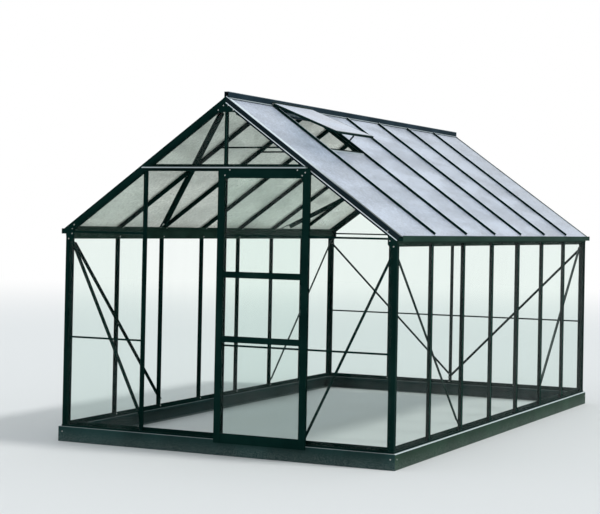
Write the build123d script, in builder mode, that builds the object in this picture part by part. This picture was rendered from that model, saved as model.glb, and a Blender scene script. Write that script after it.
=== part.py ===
from build123d import *
import os
from math import atan2, copysign, cos, degrees, radians, sin, tan

# Aluminium glass greenhouse with a steel plinth, one sliding door, slid open, and one open roof vent.
# Millimetres. Origin: middle of the footprint, at the underside of the plinth.
# +X is right, -Y is the gable with the door, +Z is up.

# Overall layout
BAY = 624.0                 # pitch of the glazing bars, one pane wide
GABLE_BAYS = 4              # bays across each gable
SIDE_BAYS = 7               # bays along each side
EAVE_HEIGHT = 1506.0        # where the glass seats of wall and roof meet
PITCH = 35.5                # roof slope in degrees
SEAT_OFFSET = 12.0          # from a corner post's centre line out to the glass seat

# Extruded sections
METAL = 2.0                 # wall of every extrusion
GLASS = 3.0                 # horticultural glass
BAR_FLANGE = 30.0           # width of the glass seat on a glazing bar
SLIM_FLANGE = 22.0          # the same on the short bar above the door
BAR_DEPTH = 26.0            # from the glass seat in to the face of the bolt channel
NIB_WIDTH = 7.0             # rib that stands between two panes
NIB_HEIGHT = 6.0
CHANNEL_WIDTH = 14.0        # bolt channel
CHANNEL_DEPTH = 10.0
BOLT_SLOT = 6.5             # opening of the bolt channel
CHANNEL_GAP = 3.0           # between the two bolt channels of a corner section
PANE_GAP = 1.5              # pane edge to nib
EDGE_COVER = 8.0            # pane edge to the corner of a post or rafter

# Steel plinth
PLINTH_HEIGHT = 105.0
PLINTH_STEEL = 2.0
PLINTH_LEDGE = 16.0         # plinth top that shows in front of the sill
PLINTH_TOP_WIDTH = 58.0     # top flange, front to back
PLINTH_FOOT_WIDTH = 50.0    # bottom flange
PLINTH_RETURN = 15.0        # downturned inner edge of the top flange
PLINTH_FOLD = 3.0           # outside radius of the folds
BRACKET_LEG = 70.0          # corner bracket inside the plinth
BRACKET_HEIGHT = 80.0

# Sill
SILL_LIP = 14.0             # outer lip that holds the foot of the glass
SILL_UPSTAND = 35.0         # inner leg that the bars are bolted to

# Gutter at the eaves
GUTTER_DROP = 46.0          # eave height to the underside of the gutter, top of the wall bars
GUTTER_REACH = 45.0         # glass seat to the outer face
GUTTER_HEIGHT = 37.0
GUTTER_CURL = 6.0           # turned-in rim
GUTTER_LEG = 35.0           # leg below the floor, bolted to the wall bars
LANDING = 32.0              # sloping face that carries a roof bar

# Ridge
RIDGE_HALF = 16.0           # half the width of the ridge box
RIDGE_RISE = 38.0           # top of the cap above the apex of the glass seats
RIDGE_LIP = 12.0            # flashing over the top edge of the roof glass

# Gable rafters
FASCIA_DEPTH = 46.0         # below the roof glass seat
RIB_HEIGHT = 5.0            # drip rib on the face of the rafter
RIB_REACH = 5.0
RIB_ABOVE_EDGE = 13.0       # lower edge of the fascia to the rib
EAVE_OVERHANG = 22.0        # roof glass past the wall's glass seat
BAR_SETBACK = 17.0          # end of a roof bar, short of the glass edge

# Sliding door
DOOR_BAY = 2                # bay of the doorway, counted from the left
DOOR_RISE = 418.0           # eave height to the top of the door
DOOR_LAP = 28.0             # shut door past the middle of a door post, each side
DOOR_FOOT_LAP = 19.0        # bottom of the door below the top of the plinth
DOOR_DEPTH = 14.0
STILE_WIDTH = 48.0
HEADER_HEIGHT = 66.0
HEADER_CHAMFER = 12.0
BOTTOM_RAIL_HEIGHT = 66.0
MID_RAIL_HEIGHT = 42.0
MID_RAIL_LOW = 760.0        # underside of the lower mid rail
MID_RAIL_HIGH = 1191.0      # underside of the upper mid rail
RAIL_INSET = 2.0            # face of a rail behind the face of a stile
GROOVE = 8.0                # depth of the glass groove in the door's frame
GROOVE_PLAY = 0.25          # groove to glass, each face

# Door track over the front gable
TRACK_HEIGHT = 48.0
TRACK_DROP = 19.0           # top of the door to the underside of the track
RAIL_REACH = 18.0           # glass seat to the front of the rail
RAIL_HEIGHT = 11.0
HOOD_RISE = 17.0            # top of the door to the root of the hood
HOOD_DROP = 11.0
HOOD_LIP = 9.0
TRACK_SHORT = 25.0          # end of the hood to the edge of the open or the shut door

# Door rollers
WHEEL_RADIUS = 9.0
GROOVE_RADIUS = 6.7         # bottom of the wheel's groove
WHEEL_WIDTH = 7.0
AXLE_RADIUS = 2.5
ROLLER_INSET = 60.0         # door edge to a roller
HANGER_WIDTH = 30.0
HANGER_HEIGHT = 52.0
HANGER_THICKNESS = 3.0
HANGER_TOP = 4.5            # above the axle

# Roof vent on the right slope
VENT_BAY = 2                # counted from the front
VENT_OPEN = 13.5            # degrees above the roof
VENT_LENGTH = 550.0
VENT_RAIL = 22.0
VENT_DEPTH = 16.0
VENT_LAP = 10.0             # vent past the vent sill when shut
SILL_BAR_BASE = 31.0
STAY_WIDTH = 12.0
STAY_THICKNESS = 3.0
STAY_TAIL = 28.0            # stay past the edge of the vent sill
STAY_HOLE = 2.2
STAY_PITCH = 20.0

# Braces, ties and plates
BRACE_WIDTH = 18.0          # leg of a brace that lies on the bars
BRACE_THICKNESS = 3.0
BRACE_LEG = 16.0            # leg of a wall or gable brace that stands off the bars
ROOF_BRACE_LEG = 40.0       # the same on a roof brace
BRACE_END = 14.0            # bolt to the end of the standing leg
BRACE_BAYS = 2              # bays that a side brace crosses
BRACE_RISE = 25.0           # top of the sill to the lower bolts
BRACE_DROP = 20.0           # foot of the gutter to the upper bolts
BRACE_STEP = 32.0           # between two lower bolts on one bar
GABLE_BRACE_DROP = 25.0     # upper bolts of the gable braces below those of the side braces
ROOF_BRACE_DROP = 36.0      # ridge landing to the upper bolts, along the slope
ROOF_BRACE_RISE = 29.0      # gutter landing to the lower bolts, along the slope
ROOF_BRACE_RUN = 1088.0     # upper to lower bolts, along the building
TIE_DROP = 305.0            # apex of the glass seats to the middle of a roof tie
TIE_HEIGHT = 12.0
TIE_METAL = 2.0
TIE_TAB = 40.0              # tab of a tie along the roof bar
PLATE = 2.0                 # thickness of the apex and eave plates
APEX_PLATE_HALF = 72.0
APEX_PLATE_DROP = 102.0     # below the apex of the glass seats
EAVE_PLATE_WIDTH = 62.0
EAVE_PLATE_HEIGHT = 96.0
EAVE_PLATE_CHAMFER = 26.0

# Glass joints
LOW_JOINT = 736.0
HIGH_JOINT_DROP = 31.0      # eave height to the upper joint
STRIP_HEIGHT = 13.0
STRIP_FACE = 1.5
JOINT_GAP = 2.6             # between two panes, where the strip's tongue goes

# Clearances
STRIP_PLAY = 0.3            # small parts between bars
PLATE_PLAY = 0.3            # plate to drip rib
TRACK_PLAY = 0.3            # track to rafter
OUTLINE_PLAY = 2.0          # gable glass to gutter and ridge
DOOR_PLAY = 6.0             # face of the plinth to the back of the door
HOOD_PLAY = 5.0             # front of the door to the lip of the hood
WHEEL_PLAY = 0.3            # bottom of the wheel's groove to the rail
FLANGE_PLAY = 0.5           # side of the wheel's groove to the rail

# Worked out from the sizes above
SLOPE = radians(PITCH)
POST_X = GABLE_BAYS * BAY / 2
POST_Y = SIDE_BAYS * BAY / 2
SEAT_X = POST_X + SEAT_OFFSET
SEAT_Y = POST_Y + SEAT_OFFSET
APEX = EAVE_HEIGHT + SEAT_X * tan(SLOPE)
WALL_TOP = EAVE_HEIGHT - GUTTER_DROP
HIGH_JOINT = EAVE_HEIGHT - HIGH_JOINT_DROP
OUTER = NIB_HEIGHT + METAL                    # outer face of sill lip and rafter fascia
PLINTH_FACE = OUTER + PLINTH_LEDGE
SILL_FLOOR = PLINTH_HEIGHT + METAL
CORNER_SEAT = BAR_DEPTH + CHANNEL_GAP + CHANNEL_WIDTH    # glass seat on a corner post or a gable rafter
CHANNEL_CENTRE = CORNER_SEAT - CHANNEL_WIDTH / 2
PANE_EDGE = NIB_WIDTH / 2 + PANE_GAP
RIDGE_TOP = APEX + RIDGE_RISE
RIDGE_FOOT = APEX - RIDGE_HALF * tan(SLOPE) - (BAR_DEPTH + METAL) / cos(SLOPE)
DOORWAY_MIDDLE = (DOOR_BAY - 0.5) * BAY - POST_X
DOOR_TRAVEL = BAY                             # from open, over the next bay on the right, to shut
DOOR_MIDDLE = DOORWAY_MIDDLE + DOOR_TRAVEL    # middle of the open door
DOOR_WIDTH = BAY + 2 * DOOR_LAP
DOOR_LEFT = DOOR_MIDDLE - DOOR_WIDTH / 2
DOOR_RIGHT = DOOR_MIDDLE + DOOR_WIDTH / 2
DOOR_BOTTOM = PLINTH_HEIGHT - DOOR_FOOT_LAP
DOOR_TOP = EAVE_HEIGHT + DOOR_RISE
DOOR_BACK = PLINTH_FACE + DOOR_PLAY           # glass seat of the gable to the back of the door
TRACK_BOTTOM = DOOR_TOP - TRACK_DROP
TRACK_TOP = TRACK_BOTTOM + TRACK_HEIGHT
RAIL_TOP = TRACK_BOTTOM + RAIL_HEIGHT
HOOD_ROOT = DOOR_TOP + HOOD_RISE
HOOD_REACH = DOOR_BACK + DOOR_DEPTH + METAL + HOOD_PLAY + METAL
WHEEL_GROOVE = METAL + 2 * FLANGE_PLAY
LIP_LIFT = NIB_HEIGHT + STRIP_PLAY           # ridge flashing above the glass seat
RIB_FOOT = RIB_ABOVE_EDGE - FASCIA_DEPTH      # underside of the rib, from the glass seat
GROOVE_BACK = DOOR_BACK + (DOOR_DEPTH - GLASS) / 2 - GROOVE_PLAY
GROOVE_FACE = GROOVE_BACK + GLASS + 2 * GROOVE_PLAY
DOWN = (cos(SLOPE), 0, -sin(SLOPE))           # down the right slope
RAFTER_END = (SEAT_X + EAVE_OVERHANG) / cos(SLOPE)
VENT_HINGE = RIDGE_HALF + PANE_GAP            # middle of the ridge to the top edge of the vent
VENT_SILL = VENT_HINGE / cos(SLOPE) + VENT_LENGTH - VENT_LAP    # ridge to the vent sill, along the slope

os.makedirs("parts", exist_ok=True)


def seat_height(x, n=0.0):
    """Height above the floor of a line n above the roof's glass seat, at distance x from the middle."""
    return APEX - abs(x) * tan(SLOPE) + n / cos(SLOPE)


def save(piece, name):
    """Label one finished sub-part and write it."""
    piece.part.label = name
    export_step(piece.part, f"parts/{name}.step")


def mirrored(piece, about):
    """The same sub-part on the other side of a plane."""
    with BuildPart() as copy:
        mirror(piece.part, about=about)
    return copy


def wall_plane(x, y, z, outward):
    """Level plane whose local y points out of a wall; local x runs along the wall."""
    along = Vector(*outward).cross(Vector(0, 0, 1))
    return Plane(origin=(x, y, z), x_dir=along, z_dir=(0, 0, 1))


def run_plane(x, y, outward):
    """Upright plane across a wall: local x points out of the wall and local y points up."""
    across = Vector(*outward).cross(Vector(0, 0, 1))
    return Plane(origin=(x, y, 0), x_dir=outward, z_dir=across)


def roof_plane(y, along=0.0, lift=0.0):
    """Plane square to the right slope: local x is +Y and local y leaves the roof."""
    origin = (along * cos(SLOPE) + lift * sin(SLOPE), y, APEX - along * sin(SLOPE) + lift * cos(SLOPE))
    return Plane(origin=origin, x_dir=(0, 1, 0), z_dir=DOWN)


def slope_plane(lift=0.0):
    """Plane in the right slope: local x is +Y, local y runs up the roof, zero at the apex."""
    origin = (lift * sin(SLOPE), 0, APEX + lift * cos(SLOPE))
    return Plane(origin=origin, x_dir=(0, 1, 0), z_dir=(sin(SLOPE), 0, cos(SLOPE)))


def under_slope_plane(lift):
    """The same plane from inside: local x is -Y, local y runs up the roof, z points into the building."""
    outer = slope_plane(lift)
    return Plane(origin=outer.origin, x_dir=-outer.x_dir, z_dir=-outer.z_dir)


def bar_face(z):
    """Distance from the middle at which the inner faces of the roof bars have height z."""
    return (seat_height(0, -BAR_DEPTH) - z) / tan(SLOPE)


def wall(u0, u1, v0, v1, mode=Mode.ADD):
    """One straight wall of a section, given by its two corners."""
    with Locations(((u0 + u1) / 2, (v0 + v1) / 2)):
        Rectangle(abs(u1 - u0), abs(v1 - v0), mode=mode)


def bolt_channel(u, v):
    """Channel open towards -v, its face at v and its middle at u."""
    wall(u - CHANNEL_WIDTH / 2, u + CHANNEL_WIDTH / 2, v, v + CHANNEL_DEPTH)
    wall(u - CHANNEL_WIDTH / 2 + METAL, u + CHANNEL_WIDTH / 2 - METAL,
         v + METAL, v + CHANNEL_DEPTH - METAL, Mode.SUBTRACT)
    wall(u - BOLT_SLOT / 2, u + BOLT_SLOT / 2, v, v + METAL, Mode.SUBTRACT)


def side_channel(u, v):
    """Channel open towards +u, its face at u and its middle at v."""
    wall(u - CHANNEL_DEPTH, u, v - CHANNEL_WIDTH / 2, v + CHANNEL_WIDTH / 2)
    wall(u - CHANNEL_DEPTH + METAL, u - METAL,
         v - CHANNEL_WIDTH / 2 + METAL, v + CHANNEL_WIDTH / 2 - METAL, Mode.SUBTRACT)
    wall(u - METAL, u, v - BOLT_SLOT / 2, v + BOLT_SLOT / 2, Mode.SUBTRACT)


def bar_section(flange=BAR_FLANGE):
    """Glazing bar: glass seat at v = 0, nib outside, stem and bolt channel inside."""
    bolt_channel(0, -BAR_DEPTH)
    wall(-flange / 2, flange / 2, -METAL, 0)
    wall(-METAL / 2, METAL / 2, -BAR_DEPTH + CHANNEL_DEPTH, 0)
    wall(-NIB_WIDTH / 2, NIB_WIDTH / 2, 0, NIB_HEIGHT)
    wall(-NIB_WIDTH / 2 + METAL, NIB_WIDTH / 2 - METAL, METAL, NIB_HEIGHT - METAL, Mode.SUBTRACT)


def face_seat():
    """Glass seat along +u from a corner at the origin, outside is +v."""
    bolt_channel(CHANNEL_CENTRE, -BAR_DEPTH)
    wall(0, CORNER_SEAT, -METAL, 0)
    wall(CHANNEL_CENTRE - METAL / 2, CHANNEL_CENTRE + METAL / 2, -BAR_DEPTH + CHANNEL_DEPTH, 0)


def edge_seat():
    """Glass seat along -v from a corner at the origin, outside is -u."""
    side_channel(BAR_DEPTH, -CHANNEL_CENTRE)
    wall(0, METAL, -CORNER_SEAT, 0)
    wall(0, BAR_DEPTH - CHANNEL_DEPTH, -CHANNEL_CENTRE - METAL / 2, -CHANNEL_CENTRE + METAL / 2)


def mitre(x, y, keep):
    """Cut the run at a corner, on the side that the keep vector points to."""
    split(bisect_by=Plane(origin=(x, y, 0), z_dir=keep), keep=Keep.TOP)


def under_slopes(n, front=OUTER, inner=0.0):
    """Cut off what stands above the lines n above the roof's glass seats, from the front gable back."""
    with BuildSketch(Plane.XZ.offset(SEAT_Y + front)) as above:
        Polygon((inner, seat_height(inner, n)), (SEAT_X, seat_height(SEAT_X, n)),
                (SEAT_X, APEX), (inner, APEX), align=None)
        mirror(about=Plane.YZ)
    extrude(above.sketch, amount=-2 * (SEAT_Y + front), mode=Mode.SUBTRACT)


# Steel plinth: a folded C section, mitred at the corners
def plinth_section():
    half = PLINTH_STEEL / 2
    with BuildLine() as middle:
        FilletPolyline(
            (PLINTH_FACE - PLINTH_TOP_WIDTH + half, PLINTH_HEIGHT - PLINTH_RETURN),
            (PLINTH_FACE - PLINTH_TOP_WIDTH + half, PLINTH_HEIGHT - half),
            (PLINTH_FACE - half, PLINTH_HEIGHT - half),
            (PLINTH_FACE - half, half),
            (PLINTH_FACE - PLINTH_FOOT_WIDTH, half),
            radius=PLINTH_FOLD - half,
        )
    trace(middle.line, line_width=PLINTH_STEEL)


def sill_section():
    """Trough that stands on the plinth: floor, outer lip and inner leg."""
    wall(-BAR_DEPTH - METAL, OUTER, PLINTH_HEIGHT, SILL_FLOOR)
    wall(NIB_HEIGHT, OUTER, PLINTH_HEIGHT, PLINTH_HEIGHT + SILL_LIP)
    wall(-BAR_DEPTH - METAL, -BAR_DEPTH, PLINTH_HEIGHT, PLINTH_HEIGHT + SILL_UPSTAND)


def side_run(section):
    """Right-hand run of a wall section, mitred at both corners."""
    with BuildPart() as run:
        with BuildSketch(run_plane(SEAT_X, 0, (1, 0, 0))):
            section()
        extrude(amount=SEAT_Y + 2 * PLINTH_FACE, both=True)
        mitre(SEAT_X, -SEAT_Y, (1, 1, 0))
        mitre(SEAT_X, SEAT_Y, (1, -1, 0))
    return run


def front_run(section):
    """Front run of a wall section, mitred at both corners."""
    with BuildPart() as run:
        with BuildSketch(run_plane(0, -SEAT_Y, (0, -1, 0))):
            section()
        extrude(amount=SEAT_X + 2 * PLINTH_FACE, both=True)
        mitre(SEAT_X, -SEAT_Y, (-1, -1, 0))
        mitre(-SEAT_X, -SEAT_Y, (1, -1, 0))
    return run


for run_name, run_section in (("plinth", plinth_section), ("sill", sill_section)):
    right_run = side_run(run_section)
    front_piece = front_run(run_section)
    save(right_run, f"{run_name}_right")
    save(mirrored(right_run, Plane.YZ), f"{run_name}_left")
    save(front_piece, f"{run_name}_front")
    save(mirrored(front_piece, Plane.XZ), f"{run_name}_rear")

# Angle brackets that join the plinth inside its corners
inner_face = PLINTH_FACE - PLINTH_STEEL
with BuildPart() as plinth_corner_brackets:
    bracket_z = (PLINTH_HEIGHT - BRACKET_HEIGHT) / 2
    with BuildSketch(Plane.XY.offset(bracket_z)):
        wall(SEAT_X + inner_face - BRACKET_LEG, SEAT_X + inner_face,
             -SEAT_Y - inner_face, -SEAT_Y - inner_face + PLINTH_STEEL)
        wall(SEAT_X + inner_face - PLINTH_STEEL, SEAT_X + inner_face,
             -SEAT_Y - inner_face, -SEAT_Y - inner_face + BRACKET_LEG)
        mirror(about=Plane.YZ)
        mirror(about=Plane.XZ)
    extrude(amount=BRACKET_HEIGHT)
save(plinth_corner_brackets, "plinth_corner_brackets")


# Corner posts: two glass seats round a hollow nose
def post_section():
    face_seat()
    edge_seat()
    wall(-NIB_HEIGHT, METAL, -METAL, NIB_HEIGHT)
    wall(-NIB_HEIGHT, -NIB_HEIGHT + METAL, -CORNER_SEAT / 2, NIB_HEIGHT)
    wall(-NIB_HEIGHT, CORNER_SEAT / 2, NIB_HEIGHT - METAL, NIB_HEIGHT)
    wall(-NIB_HEIGHT + METAL, 0, 0, NIB_HEIGHT - METAL, Mode.SUBTRACT)


with BuildPart() as corner_posts:
    with BuildSketch(wall_plane(SEAT_X, -SEAT_Y, SILL_FLOOR, (0, -1, 0))):
        post_section()
    extrude(amount=WALL_TOP - SILL_FLOOR)
    mirror(about=Plane.YZ)
    mirror(about=Plane.XZ)
save(corner_posts, "corner_posts")


# Glazing bars of the side walls
with BuildPart() as right_wall_bars:
    for number in range(1, SIDE_BAYS):
        with BuildSketch(wall_plane(SEAT_X, -POST_Y + number * BAY, SILL_FLOOR, (1, 0, 0))):
            bar_section()
    extrude(amount=WALL_TOP - SILL_FLOOR)
save(right_wall_bars, "right_wall_bars")
save(mirrored(right_wall_bars, Plane.YZ), "left_wall_bars")


def slope_strip(x_near, x_far, n_low, n_high):
    """Strip of a section that lies along the roof, with plumb ends."""
    Polygon(
        (x_near, seat_height(x_near, n_low)),
        (x_far, seat_height(x_far, n_low)),
        (x_far, seat_height(x_far, n_high)),
        (x_near, seat_height(x_near, n_high)),
        align=None,
    )


# Gutters: a trough under the edge of the roof glass, a sloping landing for the roof bars
with BuildPart() as gutter_right:
    web_x = SEAT_X - BAR_DEPTH
    with BuildSketch(run_plane(0, 0, (1, 0, 0))):
        wall(web_x - METAL, SEAT_X + GUTTER_REACH, WALL_TOP, WALL_TOP + METAL)
        wall(SEAT_X + GUTTER_REACH - METAL, SEAT_X + GUTTER_REACH, WALL_TOP, WALL_TOP + GUTTER_HEIGHT)
        wall(SEAT_X + GUTTER_REACH - GUTTER_CURL, SEAT_X + GUTTER_REACH,
             WALL_TOP + GUTTER_HEIGHT - METAL, WALL_TOP + GUTTER_HEIGHT)
        wall(web_x - METAL, web_x, WALL_TOP, seat_height(web_x, -BAR_DEPTH))
        wall(SEAT_X + NIB_HEIGHT, SEAT_X + OUTER, WALL_TOP - SILL_LIP, WALL_TOP)
    extrude(amount=SEAT_Y + NIB_HEIGHT, both=True)
    with BuildSketch(run_plane(0, 0, (1, 0, 0))):
        slope_strip(web_x - LANDING, web_x, -BAR_DEPTH - METAL, -BAR_DEPTH)
        wall(web_x - METAL, web_x, WALL_TOP - GUTTER_LEG, WALL_TOP)
    extrude(amount=SEAT_Y - BAR_DEPTH - METAL / 2, both=True)
save(gutter_right, "gutter_right")
save(mirrored(gutter_right, Plane.YZ), "gutter_left")

# Ridge: a box with a landing and a flashing lip on each side
with BuildPart() as ridge_bar:
    with BuildSketch(run_plane(0, 0, (1, 0, 0))):
        wall(-RIDGE_HALF, RIDGE_HALF, RIDGE_FOOT, RIDGE_TOP)
        wall(-RIDGE_HALF + METAL, RIDGE_HALF - METAL, RIDGE_FOOT + METAL, RIDGE_TOP - METAL, Mode.SUBTRACT)
        wall(-BOLT_SLOT / 2, BOLT_SLOT / 2, RIDGE_FOOT, RIDGE_FOOT + METAL, Mode.SUBTRACT)
        slope_strip(RIDGE_HALF - METAL, RIDGE_HALF + RIDGE_LIP, LIP_LIFT, LIP_LIFT + METAL)
        mirror(about=Plane.YZ)
    extrude(amount=SEAT_Y + NIB_HEIGHT, both=True)
    with BuildSketch(run_plane(0, 0, (1, 0, 0))):
        slope_strip(RIDGE_HALF - METAL, RIDGE_HALF + LANDING, -BAR_DEPTH - METAL, -BAR_DEPTH)
        mirror(about=Plane.YZ)
    extrude(amount=SEAT_Y - BAR_DEPTH - METAL / 2, both=True)
save(ridge_bar, "ridge_bar")

# Roof bars, from the ridge box to just short of the edge of the glass
with BuildPart() as right_roof_bars:
    for number in range(1, SIDE_BAYS):
        with BuildSketch(roof_plane(-POST_Y + number * BAY)):
            bar_section()
    extrude(amount=RAFTER_END - BAR_SETBACK)
    split(bisect_by=Plane.YZ.offset(RIDGE_HALF), keep=Keep.TOP)
save(right_roof_bars, "right_roof_bars")
save(mirrored(right_roof_bars, Plane.YZ), "left_roof_bars")

# Gable rafters: the corner extrusion with a deep face and a drip rib, mitred at the apex
with BuildPart() as rafter_front_right:
    with BuildSketch(roof_plane(-SEAT_Y)):
        face_seat()
        wall(-OUTER, METAL, -METAL, NIB_HEIGHT)
        wall(-OUTER, CORNER_SEAT / 2, NIB_HEIGHT - METAL, NIB_HEIGHT)
        wall(-NIB_HEIGHT, 0, 0, NIB_HEIGHT - METAL, Mode.SUBTRACT)
    extrude(amount=RAFTER_END)
    with BuildSketch(roof_plane(-SEAT_Y)):
        edge_seat()
    extrude(amount=(SEAT_X - BAR_DEPTH - METAL + BAR_DEPTH * sin(SLOPE)) / cos(SLOPE))
    split(bisect_by=Plane.YZ.offset(RIDGE_HALF), keep=Keep.TOP)
    with BuildSketch(roof_plane(-SEAT_Y, -FASCIA_DEPTH)):
        wall(-OUTER, -NIB_HEIGHT, -FASCIA_DEPTH, NIB_HEIGHT)
        wall(-OUTER - RIB_REACH, -OUTER, RIB_FOOT, RIB_FOOT + RIB_HEIGHT)
    extrude(amount=RAFTER_END + FASCIA_DEPTH)
    split(bisect_by=Plane.YZ, keep=Keep.TOP)
rafter_rear_right = mirrored(rafter_front_right, Plane.XZ)
save(rafter_front_right, "rafter_front_right")
save(mirrored(rafter_front_right, Plane.YZ), "rafter_front_left")
save(rafter_rear_right, "rafter_rear_right")
save(mirrored(rafter_rear_right, Plane.YZ), "rafter_rear_left")


# Bars of the gables
def gable_bar(x, foot, head, outward=(0, -1, 0), flange=BAR_FLANGE):
    """Upright bar in a gable, from foot to head."""
    y = outward[1] * SEAT_Y
    with BuildSketch(wall_plane(x, y, foot, outward)) as section:
        bar_section(flange)
    extrude(section.sketch, amount=head - foot)


post_left = DOORWAY_MIDDLE - BAY / 2
post_right = DOORWAY_MIDDLE + BAY / 2
with BuildPart() as front_gable_bars:
    gable_bar(post_right + BAY, SILL_FLOOR, TRACK_BOTTOM)
    gable_bar(post_right, TRACK_TOP, RIDGE_FOOT, flange=SLIM_FLANGE)
    under_slopes(-CORNER_SEAT, inner=BAY / 2)
save(front_gable_bars, "front_gable_bars")

with BuildPart() as door_posts:
    gable_bar(post_left, SILL_FLOOR, TRACK_BOTTOM)
    gable_bar(post_right, SILL_FLOOR, TRACK_BOTTOM)
    under_slopes(-CORNER_SEAT)
save(door_posts, "door_posts")

with BuildPart() as rear_gable_bars:
    for number in range(1, GABLE_BAYS):
        gable_bar(-POST_X + number * BAY, SILL_FLOOR, RIDGE_FOOT, outward=(0, 1, 0))
    under_slopes(-CORNER_SEAT, inner=BAY / 2)
save(rear_gable_bars, "rear_gable_bars")

# Door track: web, rail for the rollers and a sloping hood, cut back round the rafters
with BuildPart() as door_track:
    hood_edge = HOOD_ROOT - HOOD_DROP
    with BuildSketch(run_plane(DOOR_RIGHT - TRACK_SHORT, -SEAT_Y, (0, -1, 0))):
        wall(-METAL, 0, TRACK_BOTTOM, TRACK_TOP)
        wall(-METAL, RAIL_REACH, TRACK_BOTTOM, TRACK_BOTTOM + METAL)
        wall(RAIL_REACH - METAL, RAIL_REACH, TRACK_BOTTOM, RAIL_TOP)
        Polygon((-METAL, HOOD_ROOT), (0, HOOD_ROOT), (HOOD_REACH, hood_edge),
                (HOOD_REACH, hood_edge - METAL), (0, HOOD_ROOT - METAL), (-METAL, HOOD_ROOT - METAL),
                align=None)
        wall(HOOD_REACH - METAL, HOOD_REACH, hood_edge - HOOD_LIP, hood_edge)
    extrude(amount=DOOR_WIDTH + DOOR_TRAVEL - 2 * TRACK_SHORT)
    under_slopes(-FASCIA_DEPTH - TRACK_PLAY, front=OUTER + RIB_REACH + TRACK_PLAY)
save(door_track, "door_track")

# Plates bolted over the joints of the gables
with BuildPart() as apex_plates:
    with BuildSketch(Plane.XZ.offset(SEAT_Y + OUTER)):
        plate_foot = APEX - APEX_PLATE_DROP
        shoulder = seat_height(APEX_PLATE_HALF, RIB_FOOT - PLATE_PLAY)
        Polygon((0, plate_foot), (APEX_PLATE_HALF, plate_foot), (APEX_PLATE_HALF, shoulder),
                (0, seat_height(0, RIB_FOOT - PLATE_PLAY)), align=None)
        mirror(about=Plane.YZ)
    extrude(amount=PLATE)
    mirror(about=Plane.XZ)
save(apex_plates, "apex_plates")

with BuildPart() as eave_plates:
    with BuildSketch(Plane.XZ.offset(SEAT_Y + OUTER)):
        plate_out = SEAT_X + METAL
        plate_in = plate_out - EAVE_PLATE_WIDTH
        plate_foot = WALL_TOP - EAVE_PLATE_HEIGHT / 2
        Polygon((plate_out, plate_foot), (plate_in + EAVE_PLATE_CHAMFER, plate_foot),
                (plate_in, plate_foot + EAVE_PLATE_CHAMFER),
                (plate_in, seat_height(plate_in, RIB_FOOT - PLATE_PLAY)),
                (plate_out, seat_height(plate_out, RIB_FOOT - PLATE_PLAY)), align=None)
        mirror(about=Plane.YZ)
    extrude(amount=PLATE)
    mirror(about=Plane.XZ)
save(eave_plates, "eave_plates")


# Diagonal braces: angles bolted to the inner faces of the bars
def strap(plane, start, end, thickness):
    """Flat with round ends from one bolt to the other; gives the line between them and its middle."""
    line = Vector(*end) - Vector(*start)
    middle = (Vector(*end) + Vector(*start)) / 2
    turn = degrees(atan2(line.Y, line.X))
    centre = Location((middle.X, middle.Y, 0), (0, 0, turn))
    with BuildSketch(plane) as lying:
        with Locations(centre):
            SlotCenterToCenter(line.length, BRACE_WIDTH)
    extrude(lying.sketch, amount=thickness)
    return line, centre


def brace(plane, start, end, leg):
    """Angle from one bolt to the other: a round-ended leg on the plane, the other leg on its upper edge."""
    line, centre = strap(plane, start, end, BRACE_THICKNESS)
    edge = copysign(BRACE_WIDTH - BRACE_THICKNESS, line.X) / 2
    with BuildSketch(plane) as standing:
        with Locations(centre):
            with Locations((0, edge)):
                Rectangle(line.length - 2 * BRACE_END, BRACE_THICKNESS)
    extrude(standing.sketch, amount=leg)


brace_foot = PLINTH_HEIGHT + SILL_UPSTAND + BRACE_RISE
brace_head = WALL_TOP - GUTTER_LEG - BRACE_DROP
brace_corner = -SEAT_Y + CHANNEL_CENTRE
brace_bar = -POST_Y + BRACE_BAYS * BAY
side_plane = Plane(origin=(SEAT_X - BAR_DEPTH, 0, 0), x_dir=(0, -1, 0), z_dir=(-1, 0, 0))
with BuildPart() as wall_braces:
    brace(side_plane, (-brace_corner, brace_head), (-brace_bar, brace_foot), BRACE_LEG)
    mirror(about=Plane.XZ)
    mirror(about=Plane.YZ)
save(wall_braces, "side_wall_braces")

head_x = SEAT_X - CHANNEL_CENTRE
head_z = brace_head - GABLE_BRACE_DROP
front_plane = Plane(origin=(0, -SEAT_Y + BAR_DEPTH, 0), x_dir=(-1, 0, 0), z_dir=(0, 1, 0))
rear_plane = Plane(origin=(0, SEAT_Y - BAR_DEPTH, 0), x_dir=(1, 0, 0), z_dir=(0, -1, 0))
with BuildPart() as gable_braces:
    brace(front_plane, (-head_x, head_z), (-post_right - BAY, brace_foot), BRACE_LEG)
    brace(front_plane, (head_x, head_z), (-post_left, brace_foot), BRACE_LEG)
    brace(rear_plane, (head_x, head_z), (0, brace_foot), BRACE_LEG)
    brace(rear_plane, (-head_x, head_z), (0, brace_foot + BRACE_STEP), BRACE_LEG)
save(gable_braces, "gable_braces")

roof_head = -(RIDGE_HALF + LANDING) / cos(SLOPE) - ROOF_BRACE_DROP
roof_foot = -(SEAT_X - BAR_DEPTH - LANDING) / cos(SLOPE) + ROOF_BRACE_RISE
roof_plane = under_slope_plane(-BAR_DEPTH)
foot_bolt = (-brace_corner - ROOF_BRACE_RUN, roof_foot)
lug_drop = ROOF_BRACE_RISE + LANDING / cos(SLOPE) / 2
lug_run = lug_drop * ROOF_BRACE_RUN / (roof_head - roof_foot)
with BuildPart() as roof_braces:
    brace(roof_plane, (-brace_corner, roof_head), foot_bolt, ROOF_BRACE_LEG)
    # the foot steps up on to the gutter's landing
    strap(roof_plane, foot_bolt, (foot_bolt[0] - lug_run, roof_foot - lug_drop), -BRACE_THICKNESS)
    mirror(about=Plane.XZ)
    mirror(about=Plane.YZ)
save(roof_braces, "roof_braces")

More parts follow.
